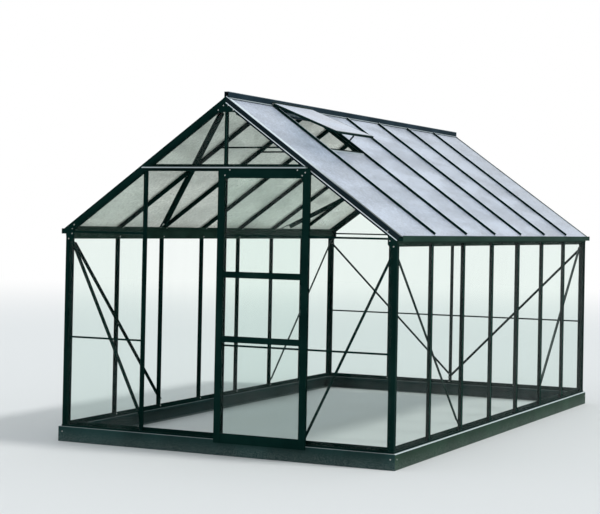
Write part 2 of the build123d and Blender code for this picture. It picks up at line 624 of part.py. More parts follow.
# Roof ties: a level strip between the roof bars of each pair, with a tab up the face of each bar
tie_foot = APEX - TIE_DROP - TIE_HEIGHT / 2
tie_head = tie_foot + TIE_HEIGHT
tab_foot = -bar_face(tie_foot) / cos(SLOPE) - BAR_DEPTH * tan(SLOPE)
with BuildPart() as roof_ties:
    for number in range(1, SIDE_BAYS):
        tie_y = -POST_Y + number * BAY
        with BuildSketch(Plane.XZ.offset(-tie_y - TIE_METAL / 2)) as strip:
            Polygon((0, tie_foot), (bar_face(tie_foot), tie_foot), (bar_face(tie_head), tie_head),
                    (0, tie_head), align=None)
        extrude(strip.sketch, amount=TIE_METAL)
        with BuildSketch(under_slope_plane(-BAR_DEPTH)) as tab:
            wall(-tie_y - CHANNEL_WIDTH / 2, -tie_y + CHANNEL_WIDTH / 2, tab_foot, tab_foot + TIE_TAB)
        extrude(tab.sketch, amount=TIE_METAL)
    mirror(about=Plane.YZ)
save(roof_ties, "roof_ties")


# Glass of the side walls: two tiers in each bay
def pane_span(number, bays, post):
    """Ends of a pane in one bay: short of the bars' nibs, further in at a corner."""
    start = -post + number * BAY
    low = -post - SEAT_OFFSET + EDGE_COVER if number == 0 else start + PANE_EDGE
    high = post + SEAT_OFFSET - EDGE_COVER if number == bays - 1 else start + BAY - PANE_EDGE
    return low, high


def tiers(heights):
    """Foot and head of each pane between the given joints."""
    return [(low + JOINT_GAP / 2, high - JOINT_GAP / 2) for low, high in zip(heights, heights[1:])]


with BuildPart() as right_wall_glass:
    with BuildSketch(Plane(origin=(SEAT_X, 0, 0), x_dir=(0, 1, 0), z_dir=(1, 0, 0))):
        for number in range(SIDE_BAYS):
            low, high = pane_span(number, SIDE_BAYS, POST_Y)
            for foot, head in tiers([SILL_FLOOR, LOW_JOINT, WALL_TOP]):
                wall(low, high, foot, head)
    extrude(amount=GLASS)
save(right_wall_glass, "right_wall_glass")
save(mirrored(right_wall_glass, Plane.YZ), "left_wall_glass")


# Glass of the gables, trimmed to one outline
def gable_outline(side_edge):
    """Outline that gable glass and glazing strips keep inside, clear of gutters and ridge."""
    gutter_edge = SEAT_X - BAR_DEPTH - METAL - OUTLINE_PLAY
    ridge_edge = RIDGE_HALF + OUTLINE_PLAY
    right = [
        (side_edge, SILL_FLOOR),
        (side_edge, WALL_TOP - OUTLINE_PLAY),
        (gutter_edge, WALL_TOP - OUTLINE_PLAY),
        (gutter_edge, seat_height(gutter_edge, -EDGE_COVER)),
        (ridge_edge, seat_height(ridge_edge, -EDGE_COVER)),
        (ridge_edge, RIDGE_FOOT - OUTLINE_PLAY),
    ]
    left = [(-x, z) for x, z in reversed(right)]
    Polygon(*right, *left, align=None, mode=Mode.INTERSECT)


doorway = DOOR_BAY - 1
glazed_bays = [number for number in range(GABLE_BAYS) if number != doorway]
track_bays = (doorway, doorway + 1)
with BuildPart() as front_gable_glass:
    with BuildSketch(Plane.XZ.offset(SEAT_Y)):
        for number in glazed_bays:
            low, high = pane_span(number, GABLE_BAYS, POST_X)
            top = TRACK_BOTTOM if number in track_bays else APEX
            for foot, head in tiers([SILL_FLOOR, LOW_JOINT, HIGH_JOINT, top]):
                wall(low, high, foot, head)
        for number in track_bays:
            low, high = pane_span(number, GABLE_BAYS, POST_X)
            wall(low, high, HOOD_ROOT + JOINT_GAP / 2, APEX)
        gable_outline(SEAT_X - EDGE_COVER)
    extrude(amount=GLASS)
save(front_gable_glass, "front_gable_glass")

with BuildPart() as rear_gable_glass:
    with BuildSketch(Plane.XZ.offset(-SEAT_Y)):
        for number in range(GABLE_BAYS):
            low, high = pane_span(number, GABLE_BAYS, POST_X)
            for foot, head in tiers([SILL_FLOOR, LOW_JOINT, HIGH_JOINT, APEX]):
                wall(low, high, foot, head)
        gable_outline(SEAT_X - EDGE_COVER)
    extrude(amount=-GLASS)
save(rear_gable_glass, "rear_gable_glass")


# Strips over the joints of the gable glass: a tongue between the panes and a flat face
def strip_rows(bays, half_height, inset):
    """One row of strips at each joint of the given bays."""
    for number in bays:
        low = -POST_X + number * BAY + NIB_WIDTH / 2 + inset
        high = low + BAY - NIB_WIDTH - 2 * inset
        for joint in (LOW_JOINT, HIGH_JOINT):
            wall(low, high, joint - half_height, joint + half_height)
    gable_outline(SEAT_X - CORNER_SEAT / 2 - inset)


tongue = (0, GLASS, JOINT_GAP / 2 - STRIP_PLAY)
face = (GLASS, STRIP_FACE, STRIP_HEIGHT / 2)
with BuildPart() as glazing_strips:
    for start, depth, half_height in (tongue, face):
        with BuildSketch(Plane.XZ.offset(SEAT_Y + start)):
            strip_rows(glazed_bays, half_height, STRIP_PLAY)
        extrude(amount=depth)
        with BuildSketch(Plane.XZ.offset(-SEAT_Y - start)):
            strip_rows(range(GABLE_BAYS), half_height, STRIP_PLAY)
        extrude(amount=-depth)
save(glazing_strips, "glazing_strips")


# Glass of the roof, one sheet in each bay
def roof_sheets(vent_number=None):
    """Sheets of the right slope; the one in the vent's bay starts below the vent sill."""
    with BuildPart() as sheets:
        with BuildSketch(slope_plane()):
            for number in range(SIDE_BAYS):
                low, high = pane_span(number, SIDE_BAYS, POST_Y)
                head = VENT_SILL + PANE_GAP if number == vent_number else VENT_HINGE / cos(SLOPE)
                wall(low, high, -RAFTER_END, -head)
        extrude(amount=GLASS)
    return sheets


save(roof_sheets(VENT_BAY - 1), "right_roof_glass")
save(mirrored(roof_sheets(), Plane.YZ), "left_roof_glass")

# Roof vent: sill between two bars, then a glazed frame hung from the ridge and held open
vent_front = -POST_Y + (VENT_BAY - 1) * BAY
vent_rear = vent_front + BAY
vent_middle = (vent_front + vent_rear) / 2
vent_slope = radians(PITCH - VENT_OPEN)
vent_z = seat_height(VENT_HINGE, LIP_LIFT + METAL + STRIP_PLAY)
vent_down = (cos(vent_slope), 0, -sin(vent_slope))
vent_normal = (sin(vent_slope), 0, cos(vent_slope))


def slope_section(y):
    """Plane across the right slope: local x down the roof from the apex, local y out of it."""
    return Plane(origin=(0, y, APEX), x_dir=DOWN, z_dir=(0, -1, 0))


def vent_section(y):
    """Plane across the vent: local x down the vent from its hinge, local y out of it."""
    return Plane(origin=(VENT_HINGE, y, vent_z), x_dir=vent_down, z_dir=(0, -1, 0))


def vent_rail(outer, inner):
    """Hollow rail with a glass rebate on its inner edge."""
    side = 1 if inner > outer else -1
    wall(outer, inner, 0, VENT_DEPTH)
    wall(outer + side * METAL, inner - side * METAL, METAL, VENT_DEPTH - GLASS - METAL, Mode.SUBTRACT)
    wall(inner - side * GROOVE, inner, VENT_DEPTH - GLASS, VENT_DEPTH, Mode.SUBTRACT)


with BuildPart() as vent_sill:
    with BuildSketch(slope_section(vent_rear - NIB_WIDTH / 2 - STRIP_PLAY)):
        wall(VENT_SILL - SILL_BAR_BASE, VENT_SILL, 0, METAL)
        wall(VENT_SILL - METAL, VENT_SILL, 0, LIP_LIFT + METAL)
        wall(VENT_SILL, VENT_SILL + RIDGE_LIP, GLASS + STRIP_PLAY, GLASS + STRIP_PLAY + METAL)
    extrude(amount=BAY - NIB_WIDTH - 2 * STRIP_PLAY)
save(vent_sill, "vent_sill")

with BuildPart() as vent_frame:
    with BuildSketch(Plane(origin=(VENT_HINGE, 0, vent_z), x_dir=(0, 1, 0), z_dir=vent_down)):
        vent_rail(vent_front - VENT_RAIL / 2, vent_front + VENT_RAIL / 2)
        vent_rail(vent_rear + VENT_RAIL / 2, vent_rear - VENT_RAIL / 2)
    extrude(amount=VENT_LENGTH)
    with BuildSketch(vent_section(vent_rear - VENT_RAIL / 2 - STRIP_PLAY)):
        vent_rail(0, VENT_RAIL)
        vent_rail(VENT_LENGTH, VENT_LENGTH - VENT_RAIL)
    extrude(amount=BAY - VENT_RAIL - 2 * STRIP_PLAY)
save(vent_frame, "vent_frame")

with BuildPart() as vent_glass:
    glass_lift = VENT_DEPTH - GLASS
    glass_origin = (VENT_HINGE + glass_lift * vent_normal[0], 0, vent_z + glass_lift * vent_normal[2])
    with BuildSketch(Plane(origin=glass_origin, x_dir=(0, 1, 0), z_dir=vent_normal)):
        reveal = VENT_RAIL / 2 - GROOVE + STRIP_PLAY
        wall(vent_front + reveal, vent_rear - reveal,
             -VENT_LENGTH + VENT_RAIL - GROOVE + STRIP_PLAY, -VENT_RAIL + GROOVE - STRIP_PLAY)
    extrude(amount=GLASS)
save(vent_glass, "vent_glass")

# Stay: a flat arm with peg holes, from the vent's lower rail past the edge of the vent sill
stay_gap = STAY_WIDTH / 2 + STRIP_PLAY
stay_peg = slope_section(0).from_local_coords((VENT_SILL - SILL_BAR_BASE - stay_gap - STRIP_PLAY, METAL / 2, 0))
stay_head = vent_section(0).from_local_coords((VENT_LENGTH - VENT_RAIL / 2, -stay_gap, 0))
with BuildPart() as vent_stay:
    arm = stay_peg - stay_head
    arm_length = arm.length + STAY_TAIL
    with BuildSketch(Plane(origin=(stay_head.X, vent_middle, stay_head.Z), x_dir=(arm.X, 0, arm.Z),
                           z_dir=(0, -1, 0))):
        with Locations((arm_length / 2, 0)):
            SlotCenterToCenter(arm_length, STAY_WIDTH)
        holes = int((arm_length - STAY_WIDTH) / STAY_PITCH)
        with GridLocations(STAY_PITCH, 0, holes, 1):
            with Locations((arm_length / 2, 0)):
                Circle(STAY_HOLE, mode=Mode.SUBTRACT)
    extrude(amount=STAY_THICKNESS / 2, both=True)
save(vent_stay, "vent_stay")


# Sliding door
def door_run(x, z, height, grooves, depth_inset):
    """Level rail of the door between the stiles, hollow, with glass grooves on the named edges."""
    back = DOOR_BACK + depth_inset
    face = DOOR_BACK + DOOR_DEPTH - depth_inset
    with BuildSketch(run_plane(x, -SEAT_Y, (0, -1, 0))) as section:
        wall(back, face, z, z + height)
        wall(back + METAL, face - METAL, z + GROOVE + METAL, z + height - GROOVE - METAL, Mode.SUBTRACT)
        if "foot" in grooves:
            wall(GROOVE_BACK, GROOVE_FACE, z, z + GROOVE, Mode.SUBTRACT)
        if "head" in grooves:
            wall(GROOVE_BACK, GROOVE_FACE, z + height - GROOVE, z + height, Mode.SUBTRACT)
    extrude(section.sketch, amount=DOOR_WIDTH - 2 * STILE_WIDTH)


rail_start = DOOR_RIGHT - STILE_WIDTH
with BuildPart() as right_stile:
    with BuildSketch(wall_plane(DOOR_RIGHT, -SEAT_Y, DOOR_BOTTOM, (0, -1, 0))):
        wall(0, STILE_WIDTH, DOOR_BACK, DOOR_BACK + DOOR_DEPTH)
        wall(METAL, STILE_WIDTH - GROOVE - METAL, DOOR_BACK + METAL, DOOR_BACK + DOOR_DEPTH - METAL,
             Mode.SUBTRACT)
        wall(STILE_WIDTH - GROOVE, STILE_WIDTH, GROOVE_BACK, GROOVE_FACE, Mode.SUBTRACT)
    extrude(amount=DOOR_TOP - DOOR_BOTTOM)
save(right_stile, "door_right_stile")
save(mirrored(right_stile, Plane.YZ.offset(DOOR_MIDDLE)), "door_left_stile")

with BuildPart() as door_bottom_rail:
    door_run(rail_start, DOOR_BOTTOM, BOTTOM_RAIL_HEIGHT, ("head",), RAIL_INSET)
save(door_bottom_rail, "door_bottom_rail")

with BuildPart() as door_mid_rails:
    for rail_foot in (MID_RAIL_LOW, MID_RAIL_HIGH):
        door_run(rail_start, rail_foot, MID_RAIL_HEIGHT, ("foot", "head"), RAIL_INSET)
save(door_mid_rails, "door_mid_rails")

with BuildPart() as door_header:
    door_run(rail_start, DOOR_TOP - HEADER_HEIGHT, HEADER_HEIGHT, ("foot",), 0)
    with BuildSketch(Plane.XZ.offset(SEAT_Y + DOOR_BACK + DOOR_DEPTH)):
        header_foot = DOOR_TOP - HEADER_HEIGHT
        Polygon((DOOR_LEFT, DOOR_TOP), (DOOR_LEFT, header_foot + HEADER_CHAMFER),
                (DOOR_LEFT + HEADER_CHAMFER, header_foot), (DOOR_RIGHT - HEADER_CHAMFER, header_foot),
                (DOOR_RIGHT, header_foot + HEADER_CHAMFER), (DOOR_RIGHT, DOOR_TOP), align=None)
    extrude(amount=METAL)
save(door_header, "door_header")

with BuildPart() as door_glass:
    with BuildSketch(Plane.XZ.offset(SEAT_Y + GROOVE_BACK + GROOVE_PLAY)):
        pane_inset = STILE_WIDTH - GROOVE + STRIP_PLAY
        pane_steps = (
            (DOOR_BOTTOM + BOTTOM_RAIL_HEIGHT, MID_RAIL_LOW),
            (MID_RAIL_LOW + MID_RAIL_HEIGHT, MID_RAIL_HIGH),
            (MID_RAIL_HIGH + MID_RAIL_HEIGHT, DOOR_TOP - HEADER_HEIGHT),
        )
        for foot, head in pane_steps:
            wall(DOOR_LEFT + pane_inset, DOOR_RIGHT - pane_inset,
                 foot - GROOVE + STRIP_PLAY, head + GROOVE - STRIP_PLAY)
    extrude(amount=GLASS)
save(door_glass, "door_glass")

# Rollers: a grooved wheel on the rail, its axle and the hanger on the back of the door
wheel_z = RAIL_TOP + GROOVE_RADIUS + WHEEL_PLAY
wheel_back = RAIL_REACH - METAL / 2 - WHEEL_WIDTH / 2
flange_width = (WHEEL_WIDTH - WHEEL_GROOVE) / 2
hanger_back = DOOR_BACK - HANGER_THICKNESS
with BuildPart() as door_rollers:
    for radius, back, front in (
        (WHEEL_RADIUS, wheel_back, wheel_back + flange_width),
        (GROOVE_RADIUS, wheel_back + flange_width, wheel_back + flange_width + WHEEL_GROOVE),
        (WHEEL_RADIUS, wheel_back + flange_width + WHEEL_GROOVE, wheel_back + WHEEL_WIDTH),
        (AXLE_RADIUS, wheel_back + WHEEL_WIDTH, hanger_back),
    ):
        with BuildSketch(Plane.XZ.offset(SEAT_Y + back)):
            with Locations((DOOR_LEFT + ROLLER_INSET, wheel_z), (DOOR_RIGHT - ROLLER_INSET, wheel_z)):
                Circle(radius)
        extrude(amount=front - back)
    with BuildSketch(Plane.XZ.offset(SEAT_Y + hanger_back)):
        for roller_x in (DOOR_LEFT + ROLLER_INSET, DOOR_RIGHT - ROLLER_INSET):
            wall(roller_x - HANGER_WIDTH / 2, roller_x + HANGER_WIDTH / 2,
                 wheel_z + HANGER_TOP - HANGER_HEIGHT, wheel_z + HANGER_TOP)
    extrude(amount=HANGER_THICKNESS)
save(door_rollers, "door_rollers")
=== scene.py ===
import logging
import math
from collections.abc import Callable, Iterator
from contextlib import contextmanager
from dataclasses import dataclass, field
from enum import Enum

import bmesh
import bpy
from mathutils import Matrix, Vector


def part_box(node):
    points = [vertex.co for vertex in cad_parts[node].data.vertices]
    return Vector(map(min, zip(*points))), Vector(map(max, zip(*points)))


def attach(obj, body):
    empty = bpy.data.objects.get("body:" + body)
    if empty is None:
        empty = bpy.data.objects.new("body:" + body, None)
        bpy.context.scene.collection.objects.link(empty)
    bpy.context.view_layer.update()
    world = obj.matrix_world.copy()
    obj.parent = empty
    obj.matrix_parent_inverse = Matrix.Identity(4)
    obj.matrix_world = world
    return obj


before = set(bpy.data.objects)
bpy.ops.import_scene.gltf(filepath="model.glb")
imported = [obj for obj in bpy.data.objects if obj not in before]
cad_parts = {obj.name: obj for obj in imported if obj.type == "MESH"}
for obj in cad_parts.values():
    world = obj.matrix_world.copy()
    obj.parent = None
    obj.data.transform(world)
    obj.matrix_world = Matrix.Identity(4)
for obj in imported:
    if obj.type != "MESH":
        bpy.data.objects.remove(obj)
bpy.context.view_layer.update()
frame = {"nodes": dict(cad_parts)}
log = logging.getLogger("greenhouse")

Colour = tuple[float, float, float, float]
Span = tuple[float, float]
Step = tuple[float, float, float, float]
Triple = tuple[float, float, float]
Test = Callable[[Vector, Vector], bool]

SLOPE = math.radians(35.5)
SUNWARD = (0.5, 0.0, 0.866)
UP_RIGHT_SLOPE = (math.sin(SLOPE), 0.0, math.cos(SLOPE))
UP_LEFT_SLOPE = (-math.sin(SLOPE), 0.0, math.cos(SLOPE))
DOWN_RIGHT_SLOPE = (math.cos(SLOPE), 0.0, -math.sin(SLOPE))
UPWARD = (0.0, 0.0, 1.0)
FORWARD = (0.0, -1.0, 0.0)
OUT_OF_HOOD = (0.0, -0.7071, 0.7071)
ALONG = (0.0, 1.0, 0.0)
WHITE = (1.0, 1.0, 1.0, 1.0)
MIDDLE_OF_NOISE = (0.3, 0.7)  # stretch that a noise seldom leaves
FACING = 0.9                  # least share of a face's normal along the way that it faces
MERGE = 0.00001               # corners nearer than this are one


# Shader nodes
class Signal:
    """One output of a node, with Python's arithmetic for Math nodes."""

    def __init__(self, tree: "Tree", socket: bpy.types.NodeSocket) -> None:
        """Keeps the socket and the tree that it belongs to."""
        self.tree = tree
        self.socket = socket

    def _math(self, operation: str, first: "Signal | float", second: "Signal | float") -> "Signal":
        """Adds one Math node."""
        return self.tree.add("Math", {"operation": operation}, {0: first, 1: second})

    def __add__(self, other: "Signal | float") -> "Signal":
        """Sum."""
        return self._math("ADD", self, other)

    def __sub__(self, other: "Signal | float") -> "Signal":
        """Difference."""
        return self._math("SUBTRACT", self, other)

    def __rsub__(self, other: float) -> "Signal":
        """Difference from a number."""
        return self._math("SUBTRACT", other, self)

    def __mul__(self, other: "Signal | float") -> "Signal":
        """Product."""
        return self._math("MULTIPLY", self, other)

    def __pow__(self, other: float) -> "Signal":
        """Power."""
        return self._math("POWER", self, other)

    __radd__ = __add__
    __rmul__ = __mul__

    def size(self) -> "Signal":
        """Absolute value."""
        return self._math("ABSOLUTE", self, 0.0)

    def ramp(self, low: float, high: float, start: float = 0.0, end: float = 1.0) -> "Signal":
        """Smooth step from start to end as the signal goes from low to high.

        Args:
            low: signal at which the result is start.
            high: signal at which the result is end.
            start: result at and below low.
            end: result at and above high.

        Returns:
            The stepped signal.
        """
        return self.tree.add(
            "MapRange",
            {"interpolation_type": "SMOOTHSTEP"},
            {"Value": self, "From Min": low, "From Max": high, "To Min": start, "To Max": end},
        )


class Tree:
    """Node tree of one material or world, and the one method that adds a node to it."""

    def __init__(self, owner: bpy.types.Material | bpy.types.World) -> None:
        """Empties the owner's tree.

        Args:
            owner: the material or the world.
        """
        owner.use_nodes = True
        self.nodes = owner.node_tree.nodes
        self.links = owner.node_tree.links
        self.nodes.clear()

    def add(
        self,
        kind: str,
        settings: dict[str, object] | None = None,
        sockets: dict[str | int, object] | None = None,
        out: str | int = 0,
    ) -> Signal:
        """Adds one node.

        Args:
            kind: the node's type, without ShaderNode.
            settings: the node's properties, set first.
            sockets: a value or a Signal for each input named.
            out: the output wanted.

        Returns:
            That output.
        """
        node = self.nodes.new("ShaderNode" + kind)
        for name, value in (settings or {}).items():
            setattr(node, name, value)
        for name, value in (sockets or {}).items():
            if isinstance(value, Signal):
                self.links.new(value.socket, node.inputs[name])
            else:
                node.inputs[name].default_value = value
        return Signal(self, node.outputs[out])

    def blend(self, share: Signal | float, first: Signal | Colour, second: Signal | Colour) -> Signal:
        """Mixes two colours by a share of the second."""
        return self.add("Mix", {"data_type": "RGBA"}, {0: share, 6: first, 7: second}, out=2)

    def place(self) -> Signal:
        """Object coordinates."""
        return self.add("TexCoord", out="Object")

    def noise(self, place: Signal, scale: float, detail: float = 3.0, roughness: float = 0.5) -> Signal:
        """Noise of a given scale in the object's metres."""
        sockets = {"Vector": place, "Scale": scale, "Detail": detail, "Roughness": roughness}
        return self.add("TexNoise", None, sockets)

    def along(self, vector: Signal, way: Triple) -> Signal:
        """Length of a vector along a way."""
        return self.add("VectorMath", {"operation": "DOT_PRODUCT"}, {0: vector, 1: way}, out="Value")

    def stretched(self, place: Signal, scale: Triple) -> Signal:
        """Coordinates multiplied along each axis."""
        return self.add("VectorMath", {"operation": "MULTIPLY"}, {0: place, 1: scale})

    def axis(self, vector: Signal, name: str) -> Signal:
        """One component of a vector."""
        return self.add("SeparateXYZ", None, {0: vector}, out=name)

    def finish(self, surface: Signal) -> None:
        """Sends a shader to the output."""
        self.add_output("OutputMaterial", surface)

    def add_output(self, kind: str, surface: Signal) -> None:
        """Adds an output node, which has no outputs of its own."""
        node = self.nodes.new("ShaderNode" + kind)
        self.links.new(surface.socket, node.inputs["Surface"])


# Finishes
@dataclass(frozen=True)
class Edge:
    """Outermost stretch of a section, where a highlight is painted on the coat.

    Attributes:
        way: direction in which the stretch lies outermost.
        start: distance from the origin at which it begins, in metres.
        share: how much of the coat the painted highlight pales there.
        heights: heights between which the painted highlight sets in, in metres.
        blur: half the width of the stretch's soft limit, in metres.
    """

    way: Triple
    start: float
    share: float = 0.8
    heights: Span = (-2.0, -1.0)
    blur: float = 0.0004


@dataclass(frozen=True)
class Coat:
    """Powder coat on metal, dusty near the ground, dusty with a painted sheen on ledges, with painted
    highlights on faces turned to the sun and along listed edges.

    Attributes:
        green, deep: the sound coat's two shades.
        ledge_dust_and_sheen, splash: most dust, with a painted lighter sheen, on level faces, and most dust
            near the ground.
        sunny: most painted sunlight, paling faces turned to the sun.
        uneven_dust, uneven_highlight, grime, splashed: steps over the noise that break up the dust, the painted
        highlights, the grime and the splashes.
    """

    name: str
    green: Colour
    deep: Colour
    dust: Colour = (0.36, 0.40, 0.38, 1.0)
    # Colour of the painted highlights.
    pale: Colour = (0.84, 0.94, 0.98, 1.0)
    ledge_dust_and_sheen: float = 0.35
    sunny: float = 0.0
    edges: tuple[Edge, ...] = ()
    splash: float = 0.0
    splash_height: float = 0.10
    gloss: float = 0.42
    gloss_spread: float = 0.05
    shine: float = 0.006
    patch_scale: float = 3.5
    speck_scale: float = 160.0
    peel_scale: float = 1400.0
    peel_strength: float = 0.06
    peel_height: float = 0.0004
    dust_roughness: float = 0.5
    sun_facing: Span = (0.72, 0.96)
    level_facing: Span = (0.45, 0.95)
    splashed: Span = (0.35, 0.65)
    uneven_dust: Step = (0.25, 0.75, 0.55, 1.3)
    # Breaks up the painted highlights.
    uneven_highlight: Step = (0.2, 0.8, 0.85, 1.0)
    grime: Step = (0.5, 0.85, 0.0, 0.012)

    def painted_highlight(self, tree: Tree, place: Signal, normal: Signal) -> Signal:
        """Share of the coat that painted highlights pale.

        Args:
            tree: the material's tree.
            place: object coordinates.
            normal: the face's normal.

        Returns:
            0 for the plain coat, 1 for one wholly paled by painted highlight.
        """
        # Painted sunlight: faces turned to the sun are paled.
        share = tree.along(normal, SUNWARD).ramp(*self.sun_facing, 0.0, self.sunny)
        # Painted highlights along the listed edges.
        for edge in self.edges:
            reach = tree.along(place, edge.way)
            height = tree.axis(place, "Z").ramp(*edge.heights)
            share = share + reach.ramp(edge.start - edge.blur, edge.start + edge.blur, 0.0, edge.share) * height
        return tree.add("Math", {"operation": "MINIMUM"}, {0: share, 1: 1.0})

    def material(self) -> bpy.types.Material:
        """Builds the coat.

        Returns:
            A new material.
        """
        made = bpy.data.materials.new(self.name)
        tree = Tree(made)
        place = tree.place()
        patches = tree.noise(place, self.patch_scale, 4.0)
        specks = tree.noise(place, self.speck_scale, 2.0)
        peel = tree.noise(place, self.peel_scale, 1.0)
        normal = tree.add("NewGeometry", out="Normal")
        upward = tree.axis(normal, "Z")
        # Level faces get dust and, with it, a painted lighter sheen where they face the sky.
        ledge = upward.ramp(*self.level_facing) * self.ledge_dust_and_sheen * patches.ramp(*self.uneven_dust)
        height = tree.axis(place, "Z")
        splashed = height.ramp(0.0, self.splash_height, self.splash, 0.0) * specks.ramp(*self.splashed)
        # The dust mix holds random grime, splashes and the painted sheen of level faces.
        grime = patches.ramp(*self.grime) + ledge + splashed
        sound = tree.blend(patches.ramp(*MIDDLE_OF_NOISE), self.deep, self.green)
        # The painted highlights pale the coat, broken up by the patches.
        highlit = self.painted_highlight(tree, place, normal) * patches.ramp(*self.uneven_highlight)
        coat = tree.blend(highlit, sound, self.pale)
        dullness = specks.ramp(*MIDDLE_OF_NOISE, self.gloss - self.gloss_spread, self.gloss + self.gloss_spread)
        bump = {"Strength": self.peel_strength, "Distance": self.peel_height, "Height": peel}
        surface = tree.add("BsdfPrincipled", None, {
            "Base Color": tree.blend(grime, coat, self.dust),
            "Roughness": grime * self.dust_roughness + dullness,
            "Specular IOR Level": self.shine,
            "Normal": tree.add("Bump", None, bump),
        })
        tree.finish(surface)
        return made


@dataclass(frozen=True)
class Glazing:
    """Thin sheet glass, clear or filmed with dirt, greener at its cut edges; on the roof slopes the film also
    carries painted light.

    Attributes:
        across: the way through the sheet, towards its outer face.
        film, inner_film: colours of the film seen from outside and from inside; on the roof slopes, dirt with a
            painted sky reflection outside and a lighter copy with painted light from behind inside.
        film_low, film_high: least and most cover of the dirt.
        streaks, flow: how the streaks and the finer marks are drawn out.
        rear_shade, low_shade, high_shade: the film's brightness at the rear, eaves and ridge.
    """

    name: str
    across: Triple
    tint: Colour = (0.955, 0.978, 0.968, 1.0)
    film: Colour = (0.80, 0.84, 0.82, 1.0)
    inner_film: Colour = (0.80, 0.84, 0.82, 1.0)
    edge: Colour = (0.10, 0.26, 0.20, 1.0)
    film_low: float = 0.0
    film_high: float = 0.010
    streaks: Triple = (3.0, 3.0, 0.6)
    streak_scale: float = 2.2
    streak_share: float = 0.7
    spot_scale: float = 42.0
    smeared: Span = (0.36, 0.66)
    flow: Triple = (1.0, 0.35, 1.0)
    grain_scale: float = 150.0
    cloud_scale: float = 7.0
    clouded: Span = (0.35, 0.65)
    cloud_share: float = 0.4
    speckle: float = 0.0
    shimmer: float = 0.06
    head_on: float = 0.04
    falloff: float = 5.0
    transmits: float = 0.0
    rear_shade: float = 1.0
    low_shade: float = 1.0
    high_shade: float = 1.0
    rear: Span = (-0.6, 2.2)
    rise: Span = (1.6, 2.35)
    cut_facing: Span = (0.3, 0.8)
    film_facing: Span = (-0.2, 0.2)
    cut_cover: float = 0.75
    film_colouring: float = 0.4
    dirt_roughness: float = 0.5
    roughness: float = 0.07
    shine: float = 0.7

    def dirt(self, tree: Tree, place: Signal) -> Signal:
        """Cover of the dirt.

        Args:
            tree: the material's tree.
            place: object coordinates.

        Returns:
            The share of the glass that is hidden.
        """
        streaks = tree.noise(tree.stretched(place, self.streaks), self.streak_scale, 5.0, 0.6)
        spots = tree.noise(place, self.spot_scale, 3.0)
        marks = streaks * self.streak_share + spots * (1.0 - self.streak_share)
        return marks.ramp(*self.smeared, self.film_low, self.film_high)

    def shaded_film(self, tree: Tree, place: Signal, facing: Signal) -> Signal:
        """Colour of the film, with its grains, clouds and slow changes of brightness.

        Args:
            tree: the material's tree.
            place: object coordinates.
            facing: how far the seen face is turned outwards.

        Returns:
            The colour.
        """
        drawn = tree.stretched(place, self.flow)
        swing = (-self.speckle, self.speckle)
        grains = tree.noise(drawn, self.grain_scale, 2.0, 0.7).ramp(*MIDDLE_OF_NOISE, *swing)
        clouds = tree.noise(drawn, self.cloud_scale, 5.0).ramp(*self.clouded, *swing)
        rear = tree.axis(place, "Y").ramp(*self.rear, 1.0, self.rear_shade)
        height = tree.axis(place, "Z").ramp(*self.rise, self.low_shade, self.high_shade)
        level = (grains + clouds * self.cloud_share + 1.0) * rear * height
        grey = tree.add("CombineColor", None, {0: level, 1: level, 2: level})
        # The face seen picks the film colour; on the roof slopes the outer one is dirt with a painted sky
        # reflection, the inner one a lighter copy with painted light from behind.
        film = tree.blend(facing.ramp(*self.film_facing), self.inner_film, self.film)
        multiply = {"data_type": "RGBA", "blend_type": "MULTIPLY"}
        return tree.add("Mix", multiply, {0: 1.0, 6: film, 7: grey}, out=2)

    def material(self) -> bpy.types.Material:
        """Builds the glass.

        Returns:
            A new material.
        """
        made = bpy.data.materials.new(self.name)
        made.use_backface_culling = False
        tree = Tree(made)
        place = tree.place()
        dirt = self.dirt(tree, place)
        facing = tree.along(tree.add("NewGeometry", out="Normal"), self.across)
        cut = facing.size().ramp(*self.cut_facing, 1.0, 0.0)
        grazing = tree.add("LayerWeight", None, {"Blend": 0.5}, out="Facing")
        mirror = (grazing ** self.falloff * (1.0 - self.head_on) + self.head_on) * self.shimmer
        body = tree.blend(dirt * self.film_colouring, self.shaded_film(tree, place, facing), self.tint)
        solid = tree.add("BsdfPrincipled", None, {
            "Base Color": tree.blend(cut, body, self.edge),
            "Roughness": dirt * self.dirt_roughness + self.roughness,
            "Specular IOR Level": self.shine,
            "Transmission Weight": self.transmits,
        })
        clear = tree.add("BsdfTransparent", None, {"Color": self.tint})
        cover = {0: dirt + mirror, 1: cut * self.cut_cover}
        share = tree.add("Math", {"operation": "MAXIMUM", "use_clamp": True}, cover)
        tree.finish(tree.add("MixShader", None, {0: share, 1: clear, 2: solid}))
        return made


@dataclass(frozen=True)
class Fitting:
    """Bright metal or satin grey of the small fittings, spotted with a dull bloom."""

    name: str
    colour: Colour
    bloom: Colour
    metallic: float = 0.9
    shine: float = 0.5
    spot_scale: float = 420.0
    spot_detail: float = 3.0
    bloomed: Step = (0.4, 0.7, 0.0, 1.0)
    roughness: Span = (0.25, 0.55)

    def material(self) -> bpy.types.Material:
        """Builds the finish.

        Returns:
            A new material.
        """
        made = bpy.data.materials.new(self.name)
        tree = Tree(made)
        spots = tree.noise(tree.place(), self.spot_scale, self.spot_detail)
        surface = tree.add("BsdfPrincipled", None, {
            "Base Color": tree.blend(spots.ramp(*self.bloomed), self.colour, self.bloom),
            "Metallic": self.metallic,
            "Roughness": spots.ramp(*MIDDLE_OF_NOISE, *self.roughness),
            "Specular IOR Level": self.shine,
        })
        tree.finish(surface)
        return made


# The finishes in use
BOTTLE_GREEN = (0.0036, 0.0205, 0.0172, 1.0)
DEEP_GREEN = (0.0021, 0.0138, 0.0116, 1.0)
